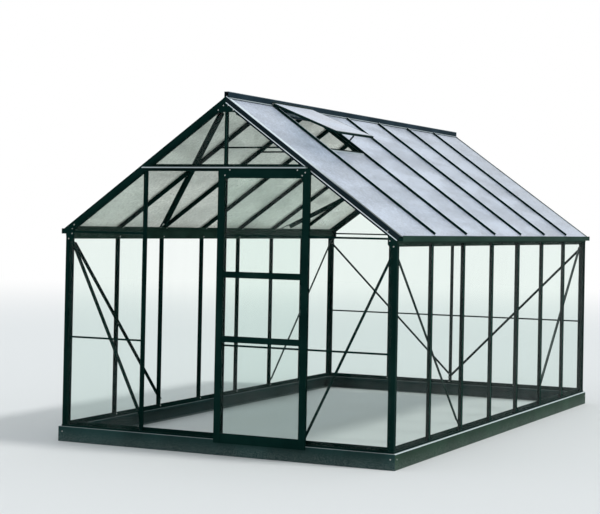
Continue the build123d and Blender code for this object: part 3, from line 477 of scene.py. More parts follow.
# Roof dirt seen from outside, bluish with a painted sky reflection, and from inside, a lighter copy with
# painted light from behind.
FILM_WITH_SKY_REFLECTION = (0.310, 0.358, 0.440, 1.0)
BACKLIT_FILM = (0.55, 0.57, 0.50, 1.0)
FRAME_COAT = Coat("bottle_green_coat", BOTTLE_GREEN, DEEP_GREEN)
# A lighter copy of the frame's green on the gutters: painted light.
GUTTER_COAT = Coat(
    "gutter_coat", (0.0180, 0.0460, 0.0340, 1.0), (0.0115, 0.0320, 0.0235, 1.0), ledge_dust_and_sheen=0.15)
# A bluer, lighter copy of the frame coat for the front right rafter: painted light, with painted highlights
# along its top edge, fading down the slope, and its rib's front face.
RAFTER_COAT = Coat(
    "sunny_rafter_coat", (0.0110, 0.0210, 0.0260, 1.0), (0.0080, 0.0150, 0.0190, 1.0),
    edges=(Edge(UP_RIGHT_SLOPE, 1.9597, 0.95, (1.70, 2.05)), Edge(FORWARD, 2.2086, 0.95)))
# Painted sunlight on the right caps' sunward faces and a painted highlight along their tops.
CAP_COAT = Coat(
    "sunny_cap_coat", BOTTLE_GREEN, DEEP_GREEN, sunny=0.85, edges=(Edge(UP_RIGHT_SLOPE, 1.9789, 0.9),))
# Painted highlight along the hood's sloped front face.
TRACK_COAT = Coat(
    "hood_coat", BOTTLE_GREEN, DEEP_GREEN, ledge_dust_and_sheen=0.03, edges=(Edge(OUT_OF_HOOD, 2.9508, 0.55),))
# Painted highlight along the sill's stretch that lies furthest down the slope.
VENT_SILL_COAT = Coat(
    "vent_sill_coat", BOTTLE_GREEN, DEEP_GREEN, ledge_dust_and_sheen=0.02,
    edges=(Edge(DOWN_RIGHT_SLOPE, -0.8480, 0.55),))
# A bluer, lighter copy of the frame coat for the ridge: painted light, with painted sunlight on sunward faces
# and a painted highlight along its top.
RIDGE_COAT = Coat(
    "ridge_coat", (0.0190, 0.0370, 0.0500, 1.0), (0.0110, 0.0235, 0.0310, 1.0), sunny=0.35,
    edges=(Edge(UPWARD, 2.4395, 0.3),))
# Painted glint along the top of the plinth's ledge.
PLINTH_COAT = Coat(
    "dusty_plinth_coat", (0.0165, 0.0500, 0.0480, 1.0), (0.0105, 0.0320, 0.0300, 1.0),
    edges=(Edge(UPWARD, 0.1035, 0.25),), ledge_dust_and_sheen=0.40, splash=0.20, gloss=0.50, shine=0.05)
# A lighter, greener copy of the plinth coat for the sunlit right side: painted sunlight and a painted
# reflection of the grass, more dust and painted sheen on its ledge, and a painted highlight along the ledge.
SUNNY_PLINTH_COAT = Coat(
    "sunny_plinth_coat", (0.0220, 0.0560, 0.0340, 1.0), (0.0140, 0.0360, 0.0230, 1.0),
    edges=(Edge(UPWARD, 0.1012, 0.9),), ledge_dust_and_sheen=0.80, splash=0.20, gloss=0.50, shine=0.03)
SIDE_GLASS = Glazing("side_glass", (1.0, 0.0, 0.0))
GABLE_GLASS = Glazing("gable_glass", ALONG)
# The same glass as the left slope, with a bluer tint, heavier film and a stronger film share at grazing angles
# that paint the sky's reflection; the film darkens towards the rear.
RIGHT_SLOPE_GLASS = Glazing(
    "right_slope_glass", UP_RIGHT_SLOPE,
    tint=(0.74, 0.81, 0.88, 1.0), film=FILM_WITH_SKY_REFLECTION, inner_film=BACKLIT_FILM, film_low=0.44, film_high=0.74,
    streaks=(1.6, 0.5, 1.6), speckle=0.34, shimmer=0.8, rear_shade=0.82)
LEFT_SLOPE_GLASS = Glazing(
    "left_slope_glass", UP_LEFT_SLOPE,
    tint=(0.86, 0.89, 0.86, 1.0), film=FILM_WITH_SKY_REFLECTION, inner_film=BACKLIT_FILM, film_low=0.40, film_high=0.74,
    streaks=(1.8, 0.7, 1.8), speckle=0.30, shimmer=0.15, transmits=0.55, low_shade=1.42, high_shade=0.66)
BRIGHT = Fitting("bright_fixings", (0.50, 0.51, 0.50, 1.0), (0.30, 0.32, 0.31, 1.0))
GREY_WHEEL = Fitting(
    "grey_wheel", (0.10, 0.105, 0.105, 1.0), (0.20, 0.20, 0.20, 1.0), metallic=0.0, shine=0.3,
    spot_scale=90.0, spot_detail=4.0, bloomed=(0.45, 0.8, 0.0, 0.5), roughness=(0.35, 0.55))
Finish = Coat | Glazing | Fitting


# Modelling by hand
@contextmanager
def editing(piece: bpy.types.Object) -> Iterator[None]:
    """Edit mode on one piece, in face mode, with nothing selected.

    Args:
        piece: the piece to edit.

    Yields:
        Nothing; edit mode ends with the block.
    """
    bpy.context.view_layer.objects.active = piece
    piece.select_set(True)
    bpy.ops.object.mode_set(mode="EDIT")
    bpy.ops.mesh.select_mode(type="FACE")
    bpy.ops.mesh.select_all(action="DESELECT")
    yield
    bpy.ops.object.mode_set(mode="OBJECT")


def clear_selection() -> None:
    """Deselects every object."""
    bpy.ops.object.select_all(action="DESELECT")


def pick_faces(piece: bpy.types.Object, test: Test) -> None:
    """Selects the faces that pass a test of their middle and normal, and no others.

    Args:
        piece: the piece in edit mode.
        test: says of a middle and a normal whether the face is wanted.
    """
    mesh = bmesh.from_edit_mesh(piece.data)
    for face in mesh.faces:
        face.select_set(False)
    for face in mesh.faces:
        if test(face.calc_center_median(), face.normal):
            face.select_set(True)
    mesh.select_flush_mode()
    bmesh.update_edit_mesh(piece.data)


def pick_edges(piece: bpy.types.Object, test: Test) -> None:
    """Selects the edges that pass a test of their middle and direction, and no others.

    Args:
        piece: the piece in edit mode.
        test: says of a middle and a direction whether the edge is wanted.
    """
    bpy.ops.mesh.select_mode(type="EDGE")
    mesh = bmesh.from_edit_mesh(piece.data)
    for edge in mesh.edges:
        edge.select_set(False)
    for edge in mesh.edges:
        start, end = (vertex.co for vertex in edge.verts)
        if test((start + end) / 2, (end - start).normalized()):
            edge.select_set(True)
    bmesh.update_edit_mesh(piece.data)


def settle(piece: bpy.types.Object) -> None:
    """Moves a piece's place into its mesh.

    Args:
        piece: the piece that was moved, turned or scaled.
    """
    clear_selection()
    piece.select_set(True)
    bpy.context.view_layer.objects.active = piece
    bpy.ops.object.transform_apply(location=True, rotation=True, scale=True)


def recalculate(piece: bpy.types.Object) -> None:
    """Merges doubles and turns every face outwards.

    Args:
        piece: the piece in object mode.
    """
    with editing(piece):
        bpy.ops.mesh.select_all(action="SELECT")
        bpy.ops.mesh.remove_doubles(threshold=MERGE)
        bpy.ops.mesh.normals_make_consistent(inside=False)


@dataclass(frozen=True)
class Seat:
    """Where a small part sits.

    Attributes:
        foot: the point that it stands on.
        out: the way that it points.
        side: the way that its own x axis leans.
    """

    foot: Vector
    out: Vector
    side: Vector = field(default_factory=lambda: Vector(UPWARD))

    def matrix(self) -> Matrix:
        """The part's own axes as a placement.

        Returns:
            The matrix that takes the part from the origin to its seat.
        """
        up = self.out.normalized()
        across = (self.side - up * self.side.dot(up)).normalized()
        turn = Matrix((across, up.cross(across), up)).transposed().to_4x4()
        return Matrix.Translation(self.foot) @ turn


def pick_top(piece: bpy.types.Object) -> None:
    """Selects the faces that look up."""
    pick_faces(piece, lambda middle, normal: normal.z > FACING)


def raise_faces(amount: float) -> None:
    """Extrudes the selected faces along z."""
    bpy.ops.mesh.extrude_region_move(TRANSFORM_OT_translate={"value": (0, 0, amount)})


def dress(
    piece: bpy.types.Object, material: bpy.types.Material, body: str = "greenhouse",
) -> None:
    """Gives a finished piece its material and its body.

    Args:
        piece: the finished piece.
        material: its finish.
        body: the body that it rides on.
    """
    piece.data.materials.clear()
    piece.data.materials.append(material)
    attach(piece, body)
    log.info("%s: %d faces", piece.name, len(piece.data.polygons))


def repeated(pattern: bpy.types.Object, name: str, seats: list[Seat]) -> bpy.types.Object:
    """Copies a pattern to every seat, each with its own mesh, and joins the copies.

    Args:
        pattern: the part modelled once at the origin, removed at the end.
        name: name of the joined piece.
        seats: where the copies go.

    Returns:
        The joined piece.
    """
    copies = []
    for seat in seats:
        copy = pattern.copy()
        copy.data = pattern.data.copy()
        bpy.context.scene.collection.objects.link(copy)
        copy.matrix_world = seat.matrix()
        copies.append(copy)
    bpy.data.objects.remove(pattern)
    clear_selection()
    for copy in copies:
        copy.select_set(True)
    bpy.context.view_layer.objects.active = copies[0]
    bpy.ops.object.join()
    joined = copies[0]
    joined.name = name
    settle(joined)
    return joined


# The building's main lines
class Side(Enum):
    """The two long sides, by the sign of x."""

    RIGHT = 1
    LEFT = -1


class Gable(Enum):
    """The two gables, by the sign of y."""

    FRONT = -1
    REAR = 1


@dataclass(frozen=True)
class Layout:
    """Main lines of the building, in metres, read from the frame where it shows them."""

    bay: float = 0.624
    gable_bays: int = 4
    side_bays: int = 7
    bar_depth: float = 0.026
    metal: float = 0.002
    ridge_rise: float = 0.038

    @property
    def seat_x(self) -> float:
        """Glass seat of the side walls."""
        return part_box("right_wall_glass")[0].x

    @property
    def seat_y(self) -> float:
        """Glass seat of the gables."""
        return -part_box("front_gable_glass")[1].y

    @property
    def apex(self) -> float:
        """Height at which the two roof seats meet."""
        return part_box("ridge_bar")[1].z - self.ridge_rise

    def side_bars(self) -> list[float]:
        """Places of the bars along a side."""
        return [(number - self.side_bays / 2) * self.bay for number in range(1, self.side_bays)]

    def gable_bars(self) -> list[float]:
        """Places of the bars across a gable."""
        return [(number - self.gable_bays / 2) * self.bay for number in range(1, self.gable_bays)]

    def on_side(self, side: Side, y: float, z: float, out: float) -> Vector:
        """Point at a distance outside the seat of a side wall."""
        return Vector((side.value * (self.seat_x + out), y, z))

    def on_gable(self, gable: Gable, x: float, z: float, out: float) -> Vector:
        """Point at a distance outside the seat of a gable."""
        return Vector((x, gable.value * (self.seat_y + out), z))

    def on_slope(self, side: Side, y: float, down: float, out: float) -> Vector:
        """Point at a distance down a slope from the apex and outside its seat."""
        x = down * math.cos(SLOPE) + out * math.sin(SLOPE)
        return Vector((side.value * x, y, self.apex - down * math.sin(SLOPE) + out * math.cos(SLOPE)))

    def slope_out(self, side: Side) -> Vector:
        """Way out of a slope."""
        return Vector((side.value * math.sin(SLOPE), 0.0, math.cos(SLOPE)))


# Finishes of the frame's own nodes
@dataclass(frozen=True)
class FrameDressing:
    """Gives each node that comes with the frame its finish.

    Attributes:
        named: finish of each node that differs from its kind.
        kinds: finish of the nodes whose name holds a word, the first word that fits.
        other: finish of every other node.
    """

    named: dict[str, Finish] = field(default_factory=lambda: {
        # Several of these are lit copies of their kind's finish, carrying painted light.
        "plinth_right": SUNNY_PLINTH_COAT,
        "ridge_bar": RIDGE_COAT,
        "door_rollers": GREY_WHEEL,
        "rafter_front_right": RAFTER_COAT,
        "door_track": TRACK_COAT,
        "vent_sill": VENT_SILL_COAT,
        "right_roof_glass": RIGHT_SLOPE_GLASS,
        "vent_glass": RIGHT_SLOPE_GLASS,
        "left_roof_glass": LEFT_SLOPE_GLASS,
    })
    kinds: tuple[tuple[str, Finish], ...] = (
        ("plinth", PLINTH_COAT), ("gutter", GUTTER_COAT), ("wall_glass", SIDE_GLASS), ("glass", GABLE_GLASS))
    other: Finish = FRAME_COAT

    def finish_of(self, node: str) -> Finish:
        """Looks up a node's finish.

        Args:
            node: the node's name.

        Returns:
            The finish named for it, or else that of its kind.
        """
        if node in self.named:
            return self.named[node]
        return next((finish for word, finish in self.kinds if word in node), self.other)

    def build(self, nodes: dict[str, bpy.types.Object]) -> None:
        """Assigns a material to the slots of every node.

        Args:
            nodes: the frame's nodes by name.
        """
        made: dict[str, bpy.types.Material] = {}
        for name, node in nodes.items():
            finish = self.finish_of(name)
            if finish.name not in made:
                made[finish.name] = finish.material()
            if not node.material_slots:
                node.data.materials.append(made[finish.name])
            for slot in node.material_slots:
                slot.material = made[finish.name]
        log.info("%d nodes dressed in %d finishes", len(nodes), len(made))


# Nuts and bolts
@dataclass(frozen=True)
class Nut:
    """Hexagon nut on the end of its bolt."""

    radius: float = 0.0058
    height: float = 0.005
    bolt_radius: float = 0.003
    bolt_end: float = 0.003
    chamfer: float = 0.0006

    def pattern(self) -> bpy.types.Object:
        """Models one nut standing on the origin.

        Returns:
            The nut.
        """
        clear_selection()
        bpy.ops.mesh.primitive_cylinder_add(
            vertices=6, radius=self.radius, depth=self.height, location=(0, 0, self.height / 2))
        nut = bpy.context.object
        settle(nut)
        with editing(nut):
            pick_top(nut)
            bpy.ops.mesh.bevel(offset=self.chamfer, segments=1, affect="EDGES")
            pick_top(nut)
            bpy.ops.mesh.inset(thickness=self.radius - self.chamfer - self.bolt_radius)
            raise_faces(self.bolt_end)
        return nut


@dataclass(frozen=True)
class CupHead:
    """Low domed bolt head on a thin washer."""

    radius: float = 0.0043
    height: float = 0.0028
    washer: float = 0.0008
    washer_rim: float = 0.15
    crown: float = 0.55
    sides: int = 10

    def pattern(self) -> bpy.types.Object:
        """Models one head standing on the origin.

        Returns:
            The head.
        """
        clear_selection()
        bpy.ops.mesh.primitive_cylinder_add(
            vertices=self.sides, radius=self.radius * (1 + self.washer_rim), depth=self.washer,
            location=(0, 0, self.washer / 2))
        head = bpy.context.object
        settle(head)
        rise = (self.height - self.washer) / 2
        with editing(head):
            pick_top(head)
            bpy.ops.mesh.inset(thickness=self.radius * self.washer_rim)
            raise_faces(rise)
            raise_faces(rise)
            bpy.ops.transform.resize(value=(self.crown, self.crown, 1.0))
        return head


@dataclass
class Fixings:
    """Nuts of the fixed frame, inside the sills and gutters and under the roof landings."""

    layout: Layout
    sill_rise: float = 0.022
    gutter_drop: float = 0.018
    landing_in: float = 0.016
    ridge_half: float = 0.016

    def wall_nuts(self) -> list[Seat]:
        """Nuts inside the sills and gutters, two to a side bar and one to a gable bar.

        Returns:
            Their seats.
        """
        lines = self.layout
        inner = -lines.bar_depth - lines.metal
        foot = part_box("plinth_right")[1].z + self.sill_rise
        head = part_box("right_wall_bars")[1].z - self.gutter_drop
        seats = []
        for side in Side:
            way = Vector((-side.value, 0, 0))
            for y in lines.side_bars():
                seats += [Seat(lines.on_side(side, y, z, inner), way) for z in (foot, head)]
        for gable in Gable:
            way = Vector((0, -gable.value, 0))
            seats += [Seat(lines.on_gable(gable, x, foot, inner), way) for x in lines.gable_bars()]
        return seats

    def roof_nuts(self) -> list[Seat]:
        """Nuts under the landings of the ridge and the gutters.

        Returns:
            Their seats.
        """
        lines = self.layout
        inner = -lines.bar_depth - lines.metal
        ridge = self.ridge_half / math.cos(SLOPE) + self.landing_in
        eave = (lines.seat_x - lines.bar_depth) / math.cos(SLOPE) - self.landing_in
        seats = []
        for side in Side:
            for y in lines.side_bars():
                for down in (ridge, eave):
                    foot = lines.on_slope(side, y, down, inner)
                    seats.append(Seat(foot, -lines.slope_out(side), Vector(ALONG)))
        return seats

    def build(self) -> None:
        """Models and dresses the nuts."""
        bright = BRIGHT.material()
        for name, seats in (("wall_nuts", self.wall_nuts()), ("roof_nuts", self.roof_nuts())):
            dress(repeated(Nut().pattern(), name, seats), bright)


@dataclass
class PlateBolts:
    """Bolt heads on the apex plates, the eave plates, the plinth's corners and the door's header."""

    layout: Layout
    apex_pairs: tuple[tuple[float, float], ...] = ((0.019, -0.056), (0.058, -0.087))
    eave_spots: tuple[tuple[float, float], ...] = (
        (-0.062, 0.019), (-0.045, -0.008), (-0.046, -0.044), (-0.018, -0.080))
    plinth_spots: tuple[tuple[float, float], ...] = ((-0.016, 0.070),)
    header_spots: tuple[tuple[float, float], ...] = ((0.088, -0.012), (0.052, -0.048))
    header_single: tuple[float, float] = (0.031, -0.028)

    def gable_seats(self) -> list[Seat]:
        """Heads on the plates of both gables.

        Returns:
            Their seats.
        """
        lines = self.layout
        face = -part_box("apex_plates")[0].y - lines.seat_y
        eave = lines.apex - lines.seat_x * math.tan(SLOPE)
        seats = []
        for gable in Gable:
            way = Vector((0, gable.value, 0))
            for hand in (-1, 1):
                for x, rise in self.apex_pairs:
                    seats.append(Seat(lines.on_gable(gable, hand * x, lines.apex + rise, face), way))
                for x, rise in self.eave_spots:
                    spot = lines.on_gable(gable, hand * (lines.seat_x + x), eave + rise, face)
                    seats.append(Seat(spot, way))
        return seats

    def plinth_seats(self) -> list[Seat]:
        """Heads through the plinth into its corner brackets, with none on the rear face.

        Returns:
            Their seats.
        """
        low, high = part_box("plinth_right")
        seats = []
        for side in Side:
            for gable in Gable:
                for inset, z in self.plinth_spots:
                    x, y = side.value * high.x, gable.value * -low.y
                    spot = Vector((x, y + gable.value * 2 * inset, z))
                    seats.append(Seat(spot, Vector((side.value, 0, 0))))
                    if gable is Gable.FRONT:
                        seats.append(Seat(Vector((x + side.value * 2 * inset, y, z)), Vector(FORWARD)))
        return seats

    def header_seats(self) -> list[Seat]:
        """Heads on the plate across the top of the door.

        Returns:
            Their seats.
        """
        low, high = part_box("door_header")
        seats = []
        for inset, rise in self.header_spots:
            for x in (low.x + inset, high.x - inset):
                seats.append(Seat(Vector((x, low.y, high.z + rise)), Vector(FORWARD)))
        inset, rise = self.header_single
        seats.append(Seat(Vector((high.x - inset, low.y, high.z + rise)), Vector(FORWARD)))
        return seats

    def build(self) -> None:
        """Models and dresses the heads."""
        bright = BRIGHT.material()
        for name, seats, body in (
            ("plate_bolts", self.gable_seats(), "greenhouse"),
            ("plinth_bolts", self.plinth_seats(), "greenhouse"),
            ("door_header_bolts", self.header_seats(), "door"),
        ):
            dress(repeated(CupHead().pattern(), name, seats), bright, body=body)


# Braces and ties
@dataclass
class BraceBolts:
    """Bolt heads on the inner faces of the braces and the roof ties."""

    layout: Layout
    metal: float = 0.003
    corner_inset: float = 0.036
    side_run: tuple[float, float, float] = (2.160, 1.560, 0.936)
    side_rise: tuple[float, float, float] = (1.405, 0.797, 0.165)
    roof_run: tuple[float, float, float] = (2.160, 1.560, 1.072)
    roof_drop: tuple[float, float, float] = (0.095, 0.8406, 1.4474)
    lug: tuple[float, float] = (1.033, 1.4958)
    gable_head: float = 1.380
    gable_foot: float = 0.165
    step: float = 0.032
    tie_drop: float = 0.471

    def wall_seats(self) -> list[Seat]:
        """Heads on the side braces and the gable braces.

        Returns:
            Their seats.
        """
        lines = self.layout
        inner = -lines.bar_depth - self.metal
        seats = []
        for side in Side:
            for hand in (-1, 1):
                for y, z in zip(self.side_run, self.side_rise):
                    spot = lines.on_side(side, hand * y, z, inner)
                    seats.append(Seat(spot, Vector((-side.value, 0, 0))))
        corner = lines.seat_x - self.corner_inset
        spots = {
            Gable.FRONT: ((lines.bay, self.gable_foot), (-lines.bay, self.gable_foot)),
            Gable.REAR: ((0.0, self.gable_foot), (0.0, self.gable_foot + self.step)),
        }
        for gable, feet in spots.items():
            heads = ((corner, self.gable_head), (-corner, self.gable_head))
            for x, z in heads + feet:
                seats.append(Seat(lines.on_gable(gable, x, z, inner), Vector((0, -gable.value, 0))))
        return seats

    def roof_seats(self) -> list[Seat]:
        """Heads on the roof braces, their feet and the tabs of the ties.

        Returns:
            Their seats.
        """
        lines = self.layout
        on_brace = -lines.bar_depth - self.metal
        on_tab = -lines.bar_depth - lines.metal
        seats = []
        for side in Side:
            way = -lines.slope_out(side)
            for hand in (-1, 1):
                for y, down in zip(self.roof_run, self.roof_drop):
                    foot = lines.on_slope(side, hand * y, down, on_brace)
                    seats.append(Seat(foot, way, Vector(ALONG)))
                under = lines.on_slope(side, hand * self.lug[0], self.lug[1], on_tab)
                seats.append(Seat(under, way, Vector(ALONG)))
            for y in lines.side_bars():
                tab = lines.on_slope(side, y, self.tie_drop, on_tab)
                seats.append(Seat(tab, way, Vector(ALONG)))
        return seats

    def build(self) -> None:
        """Models and dresses the heads."""
        bright = BRIGHT.material()
        for name, seats in (("wall_brace_bolts", self.wall_seats()), ("roof_brace_bolts", self.roof_seats())):
            dress(repeated(CupHead().pattern(), name, seats), bright)


# Caps of the roof bars
@dataclass
class BarCaps:
    """Hollow capping strips on the ribs of the roof bars, tall on the right slope and low on the left."""

    layout: Layout
    width: float = 0.0072
    tall: float = 0.0160
    low: float = 0.0090
    wall: float = 0.0012
    round_over: float = 0.0012
    seat: float = 0.00605
    rib: float = 0.006
    start: float = 0.034
    vent_start: float = 0.072
    vent_bars: tuple[int, int] = (0, 1)
    top_share: float = 0.9
    segments: int = 2

    def pattern(self, length: float, height: float) -> bpy.types.Object:
        """Models one strip standing on the origin and running along its own y axis.

        Args:
            length: length of the strip.
            height: height of the strip.

        Returns:
            The strip.
        """
        clear_selection()
        bpy.ops.mesh.primitive_cube_add(size=1, location=(0, length / 2, height / 2))
        strip = bpy.context.object
        strip.scale = (self.width, length, height)
        settle(strip)
        with editing(strip):
            pick_edges(strip, lambda middle, way: middle.z > height * self.top_share)
            bpy.ops.mesh.bevel(offset=self.round_over, segments=self.segments, affect="EDGES")
            bpy.ops.mesh.select_mode(type="FACE")
            pick_faces(strip, lambda middle, normal: normal.z < -FACING)
            bpy.ops.mesh.inset(thickness=self.wall)
            raise_faces(height - 2 * self.wall)
        recalculate(strip)
        return strip

    def build(self) -> None:
        """Models one strip for each length, copies it to its bars and dresses the rows."""
        lines = self.layout
        end = (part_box("right_roof_bars")[1].x - self.rib * math.sin(SLOPE)) / math.cos(SLOPE)
        # The right caps wear painted sunlight and highlights; the left ones the plain coat.
        coats = {Side.RIGHT: CAP_COAT.material(), Side.LEFT: FRAME_COAT.material()}
        for side in Side:
            rows: dict[float, list[Seat]] = {}
            for number, y in enumerate(lines.side_bars()):
                under_vent = side is Side.RIGHT and number in self.vent_bars
                start = self.vent_start if under_vent else self.start
                foot = lines.on_slope(side, y, start, self.seat)
                seat = Seat(foot, lines.slope_out(side), Vector((0, -side.value, 0)))
                rows.setdefault(start, []).append(seat)
            for start, seats in rows.items():
                name = f"{side.name.lower()}_bar_caps" + ("_by_vent" if start == self.vent_start else "")
                height = self.tall if side is Side.RIGHT else self.low
                strip = self.pattern(end - start, height)
                dress(repeated(strip, name, seats), coats[side])


# Ends of the gutters
@dataclass
class StopEnds:
    """Plates that close the ends of both gutters."""

    layout: Layout
    inner: float = 0.0045
    outer: float = 0.0425
    foot: float = 1.4625
    head: float = 1.4860
    thickness: float = 0.003
    end: float = 2.2012
    corner: float = 0.006
    rim: float = 0.003
    dish: float = 0.001

    def build(self) -> None:
        """Models one plate and copies it to the four ends."""
        lines = self.layout
        clear_selection()
        bpy.ops.mesh.primitive_cube_add(size=1, location=(0, 0, self.thickness / 2))
        plate = bpy.context.object
        plate.scale = (self.outer - self.inner, self.head - self.foot, self.thickness)
        settle(plate)
        with editing(plate):
            pick_edges(plate, lambda middle, way: abs(way.z) > FACING and middle.y < 0)
            bpy.ops.mesh.bevel(offset=self.corner, segments=3, affect="EDGES")
            bpy.ops.mesh.select_mode(type="FACE")
            pick_top(plate)
            bpy.ops.mesh.inset(thickness=self.rim)
            raise_faces(-self.dish)
        recalculate(plate)
        x = lines.seat_x + (self.inner + self.outer) / 2
        y = self.end - self.thickness
        z = (self.foot + self.head) / 2
        seats = []
        for side in Side:
            for gable in Gable:
                foot = Vector((side.value * x, gable.value * y, z))
                seats.append(Seat(foot, Vector((0, gable.value, 0)), Vector((-gable.value, 0, 0))))
        dress(repeated(plate, "gutter_stop_ends", seats), FRAME_COAT.material())


# Fittings of the roof vent
@dataclass
class VentFittings:
    """Hinge bead along the top of the open vent, its bright end screws, and the pins of the stay."""

    layout: Layout
    bead_radius: float = 0.003
    bead_drop: float = 0.0115
    bead_lift: float = 0.0292
    overlap: float = 0.004
    tip_share: float = 0.4
    near_end: float = 0.001
    screw_spot: tuple[float, float] = (0.022, 0.0185)
    pin_radius: float = 0.004
    stay_side: float = -1.2458
    pin_spots: tuple[tuple[float, float], ...] = ((0.5360, 0.1200), (0.5250, 0.0125))

    def bead(self) -> bpy.types.Object:
        """Models the bead with stepped ends along its own z axis.

        Returns:
            The bead.
        """
        low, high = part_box("vent_frame")
        length = high.y - low.y - 2 * self.overlap
        clear_selection()
        bpy.ops.mesh.primitive_cylinder_add(
            vertices=12, radius=self.bead_radius, depth=length, location=(0, 0, length / 2))
        bead = bpy.context.object
        settle(bead)
        with editing(bead):
            for end, way in ((length, 1), (0.0, -1)):
                pick_faces(bead, lambda middle, normal: (
                    normal.z * way > FACING and abs(middle.z - end) < self.near_end))
                bpy.ops.mesh.inset(thickness=self.bead_radius * self.tip_share)
                raise_faces(way * self.overlap)
        recalculate(bead)
        return bead

    def build(self) -> None:
        """Models and dresses the bead, its screws and the pins."""
        lines = self.layout
        low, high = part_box("vent_frame")
        start = lines.on_slope(Side.RIGHT, low.y + self.overlap, self.bead_drop, self.bead_lift)
        bead = repeated(self.bead(), "vent_hinge_bead", [Seat(start, Vector(ALONG))])
        dress(bead, FRAME_COAT.material())
        bright = BRIGHT.material()
        screws = []
        for y, way in ((low.y, -1), (high.y, 1)):
            spot = lines.on_slope(Side.RIGHT, y, *self.screw_spot)
            screws.append(Seat(spot, Vector((0, way, 0))))
        dress(repeated(CupHead().pattern(), "vent_hinge_screws", screws), bright)
        pins = [Seat(lines.on_slope(Side.RIGHT, self.stay_side, down, out), Vector(ALONG))
                for down, out in self.pin_spots]
        pin = CupHead(radius=self.pin_radius).pattern()
        dress(repeated(pin, "vent_stay_pins", pins), bright)


# Camera and studio
@dataclass(frozen=True)
class PhotoCamera:
    """The camera that took the reference view.

    Attributes:
        place: where it stands, in metres.
        yaw: turn from +Y towards -X, in degrees.
        pitch: look above the horizon, in degrees.
        roll: turn about the line of sight, in degrees.
        focal_pixels: focal length in image pixels.
        offset_pixels: the image's middle to the line of sight, right and down.
        image_width: width of the image in pixels.
        sensor: width of the sensor in millimetres.
    """

    place: Triple = (5.045, -11.324, 1.558)
    yaw: float = 24.49
    pitch: float = 0.83
    roll: float = 1.10
    focal_pixels: float = 1545.0
    offset_pixels: tuple[float, float] = (44.6, -54.3)
    image_width: float = 600.0
    sensor: float = 36.0

    def build(self) -> bpy.types.Object:
        """Adds the camera and makes it the scene's.

        Returns:
            The camera object.
        """
        yaw, pitch, roll = (math.radians(angle) for angle in (self.yaw, self.pitch, self.roll))
        ahead = Vector((-math.sin(yaw) * math.cos(pitch), math.cos(yaw) * math.cos(pitch), math.sin(pitch)))
        level = Vector((math.cos(yaw), math.sin(yaw), 0.0))
        above = level.cross(ahead)
        right = math.cos(roll) * level + math.sin(roll) * above
        up = math.cos(roll) * above - math.sin(roll) * level
        data = bpy.data.cameras.new("photo_camera")
        data.sensor_width = self.sensor
        data.lens = self.sensor * self.focal_pixels / self.image_width
        data.shift_x = -self.offset_pixels[0] / self.image_width
        data.shift_y = self.offset_pixels[1] / self.image_width
        camera = bpy.data.objects.new("photo_camera", data)
        bpy.context.scene.collection.objects.link(camera)
        turn = Matrix((right, up, -ahead)).transposed().to_4x4()
        camera.matrix_world = Matrix.Translation(self.place) @ turn
        bpy.context.scene.camera = camera
        return camera


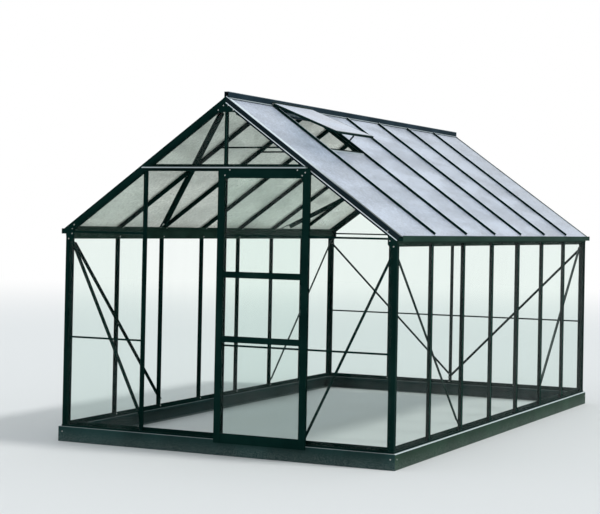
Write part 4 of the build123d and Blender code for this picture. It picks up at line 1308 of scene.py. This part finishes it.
@dataclass(frozen=True)
class Studio:
    """Pale floor, white surroundings, soft sky light and one soft sun."""

    floor_half: float = 90.0
    floor_colour: Colour = (0.70, 0.71, 0.70, 1.0)
    fade: Span = (9.0, 30.0)
    sky: Colour = (0.72, 0.76, 0.80, 1.0)
    sun_strength: float = 1.5
    sun_angle: float = 9.0
    sun_from: Triple = (0.60, 0.10, 0.79)
    floor_roughness: float = 0.9
    floor_shine: float = 0.1

    def seen(self, tree: Tree) -> Signal:
        """Tells the rays that see the white surroundings from the light on the object.

        Args:
            tree: the tree of the floor or the world.

        Returns:
            1 for camera, glossy and transmission rays, and 0 for the rest.
        """
        camera, glossy, passing = (
            tree.add("LightPath", out=name)
            for name in ("Is Camera Ray", "Is Glossy Ray", "Is Transmission Ray"))
        return (camera + glossy + passing).ramp(0.0, 1.0)

    def floor(self) -> None:
        """A plane that fades to white far away."""
        clear_selection()
        bpy.ops.mesh.primitive_plane_add(size=2 * self.floor_half, location=(0, 0, 0))
        floor = bpy.context.object
        floor.name = "studio_floor"
        material = bpy.data.materials.new("studio_floor")
        tree = Tree(material)
        place = tree.place()
        distance = tree.add("VectorMath", {"operation": "LENGTH"}, {0: place}, out="Value")
        far = distance.ramp(*self.fade) * self.seen(tree)
        plain = tree.add("BsdfPrincipled", None, {
            "Base Color": self.floor_colour,
            "Roughness": self.floor_roughness,
            "Specular IOR Level": self.floor_shine,
        })
        white = tree.add("Emission", None, {"Color": WHITE, "Strength": 1.0})
        tree.finish(tree.add("MixShader", None, {0: far, 1: plain, 2: white}))
        floor.data.materials.append(material)

    def surroundings(self) -> None:
        """White where it is seen, and a plain sky where it lights the object."""
        world = bpy.data.worlds.new("studio_world")
        bpy.context.scene.world = world
        tree = Tree(world)
        light = tree.add("Background", None, {"Color": self.sky, "Strength": 1.0})
        white = tree.add("Background", None, {"Color": WHITE, "Strength": 1.0})
        mixed = tree.add("MixShader", None, {0: self.seen(tree), 1: light, 2: white})
        tree.add_output("OutputWorld", mixed)

    def sun(self) -> None:
        """One soft sun from the right and above."""
        data = bpy.data.lights.new("soft_sun", "SUN")
        data.energy = self.sun_strength
        data.angle = math.radians(self.sun_angle)
        lamp = bpy.data.objects.new("soft_sun", data)
        bpy.context.scene.collection.objects.link(lamp)
        lamp.rotation_mode = "QUATERNION"
        lamp.rotation_quaternion = Vector(self.sun_from).to_track_quat("Z", "Y")

    def build(self) -> None:
        """Adds floor, surroundings and sun, and keeps colours as written."""
        bpy.context.scene.view_settings.view_transform = "Standard"
        self.floor()
        self.surroundings()
        self.sun()


def main() -> None:
    """Builds the camera, the studio and every sub-assembly in order."""
    logging.basicConfig(level=logging.INFO, format="%(message)s")
    layout = Layout()
    PhotoCamera().build()
    Studio().build()
    FrameDressing().build(frame["nodes"])
    for assembly in (Fixings(layout), PlateBolts(layout), BraceBolts(layout), BarCaps(layout),
                     StopEnds(layout), VentFittings(layout)):
        assembly.build()


if __name__ == "__main__":
    main()
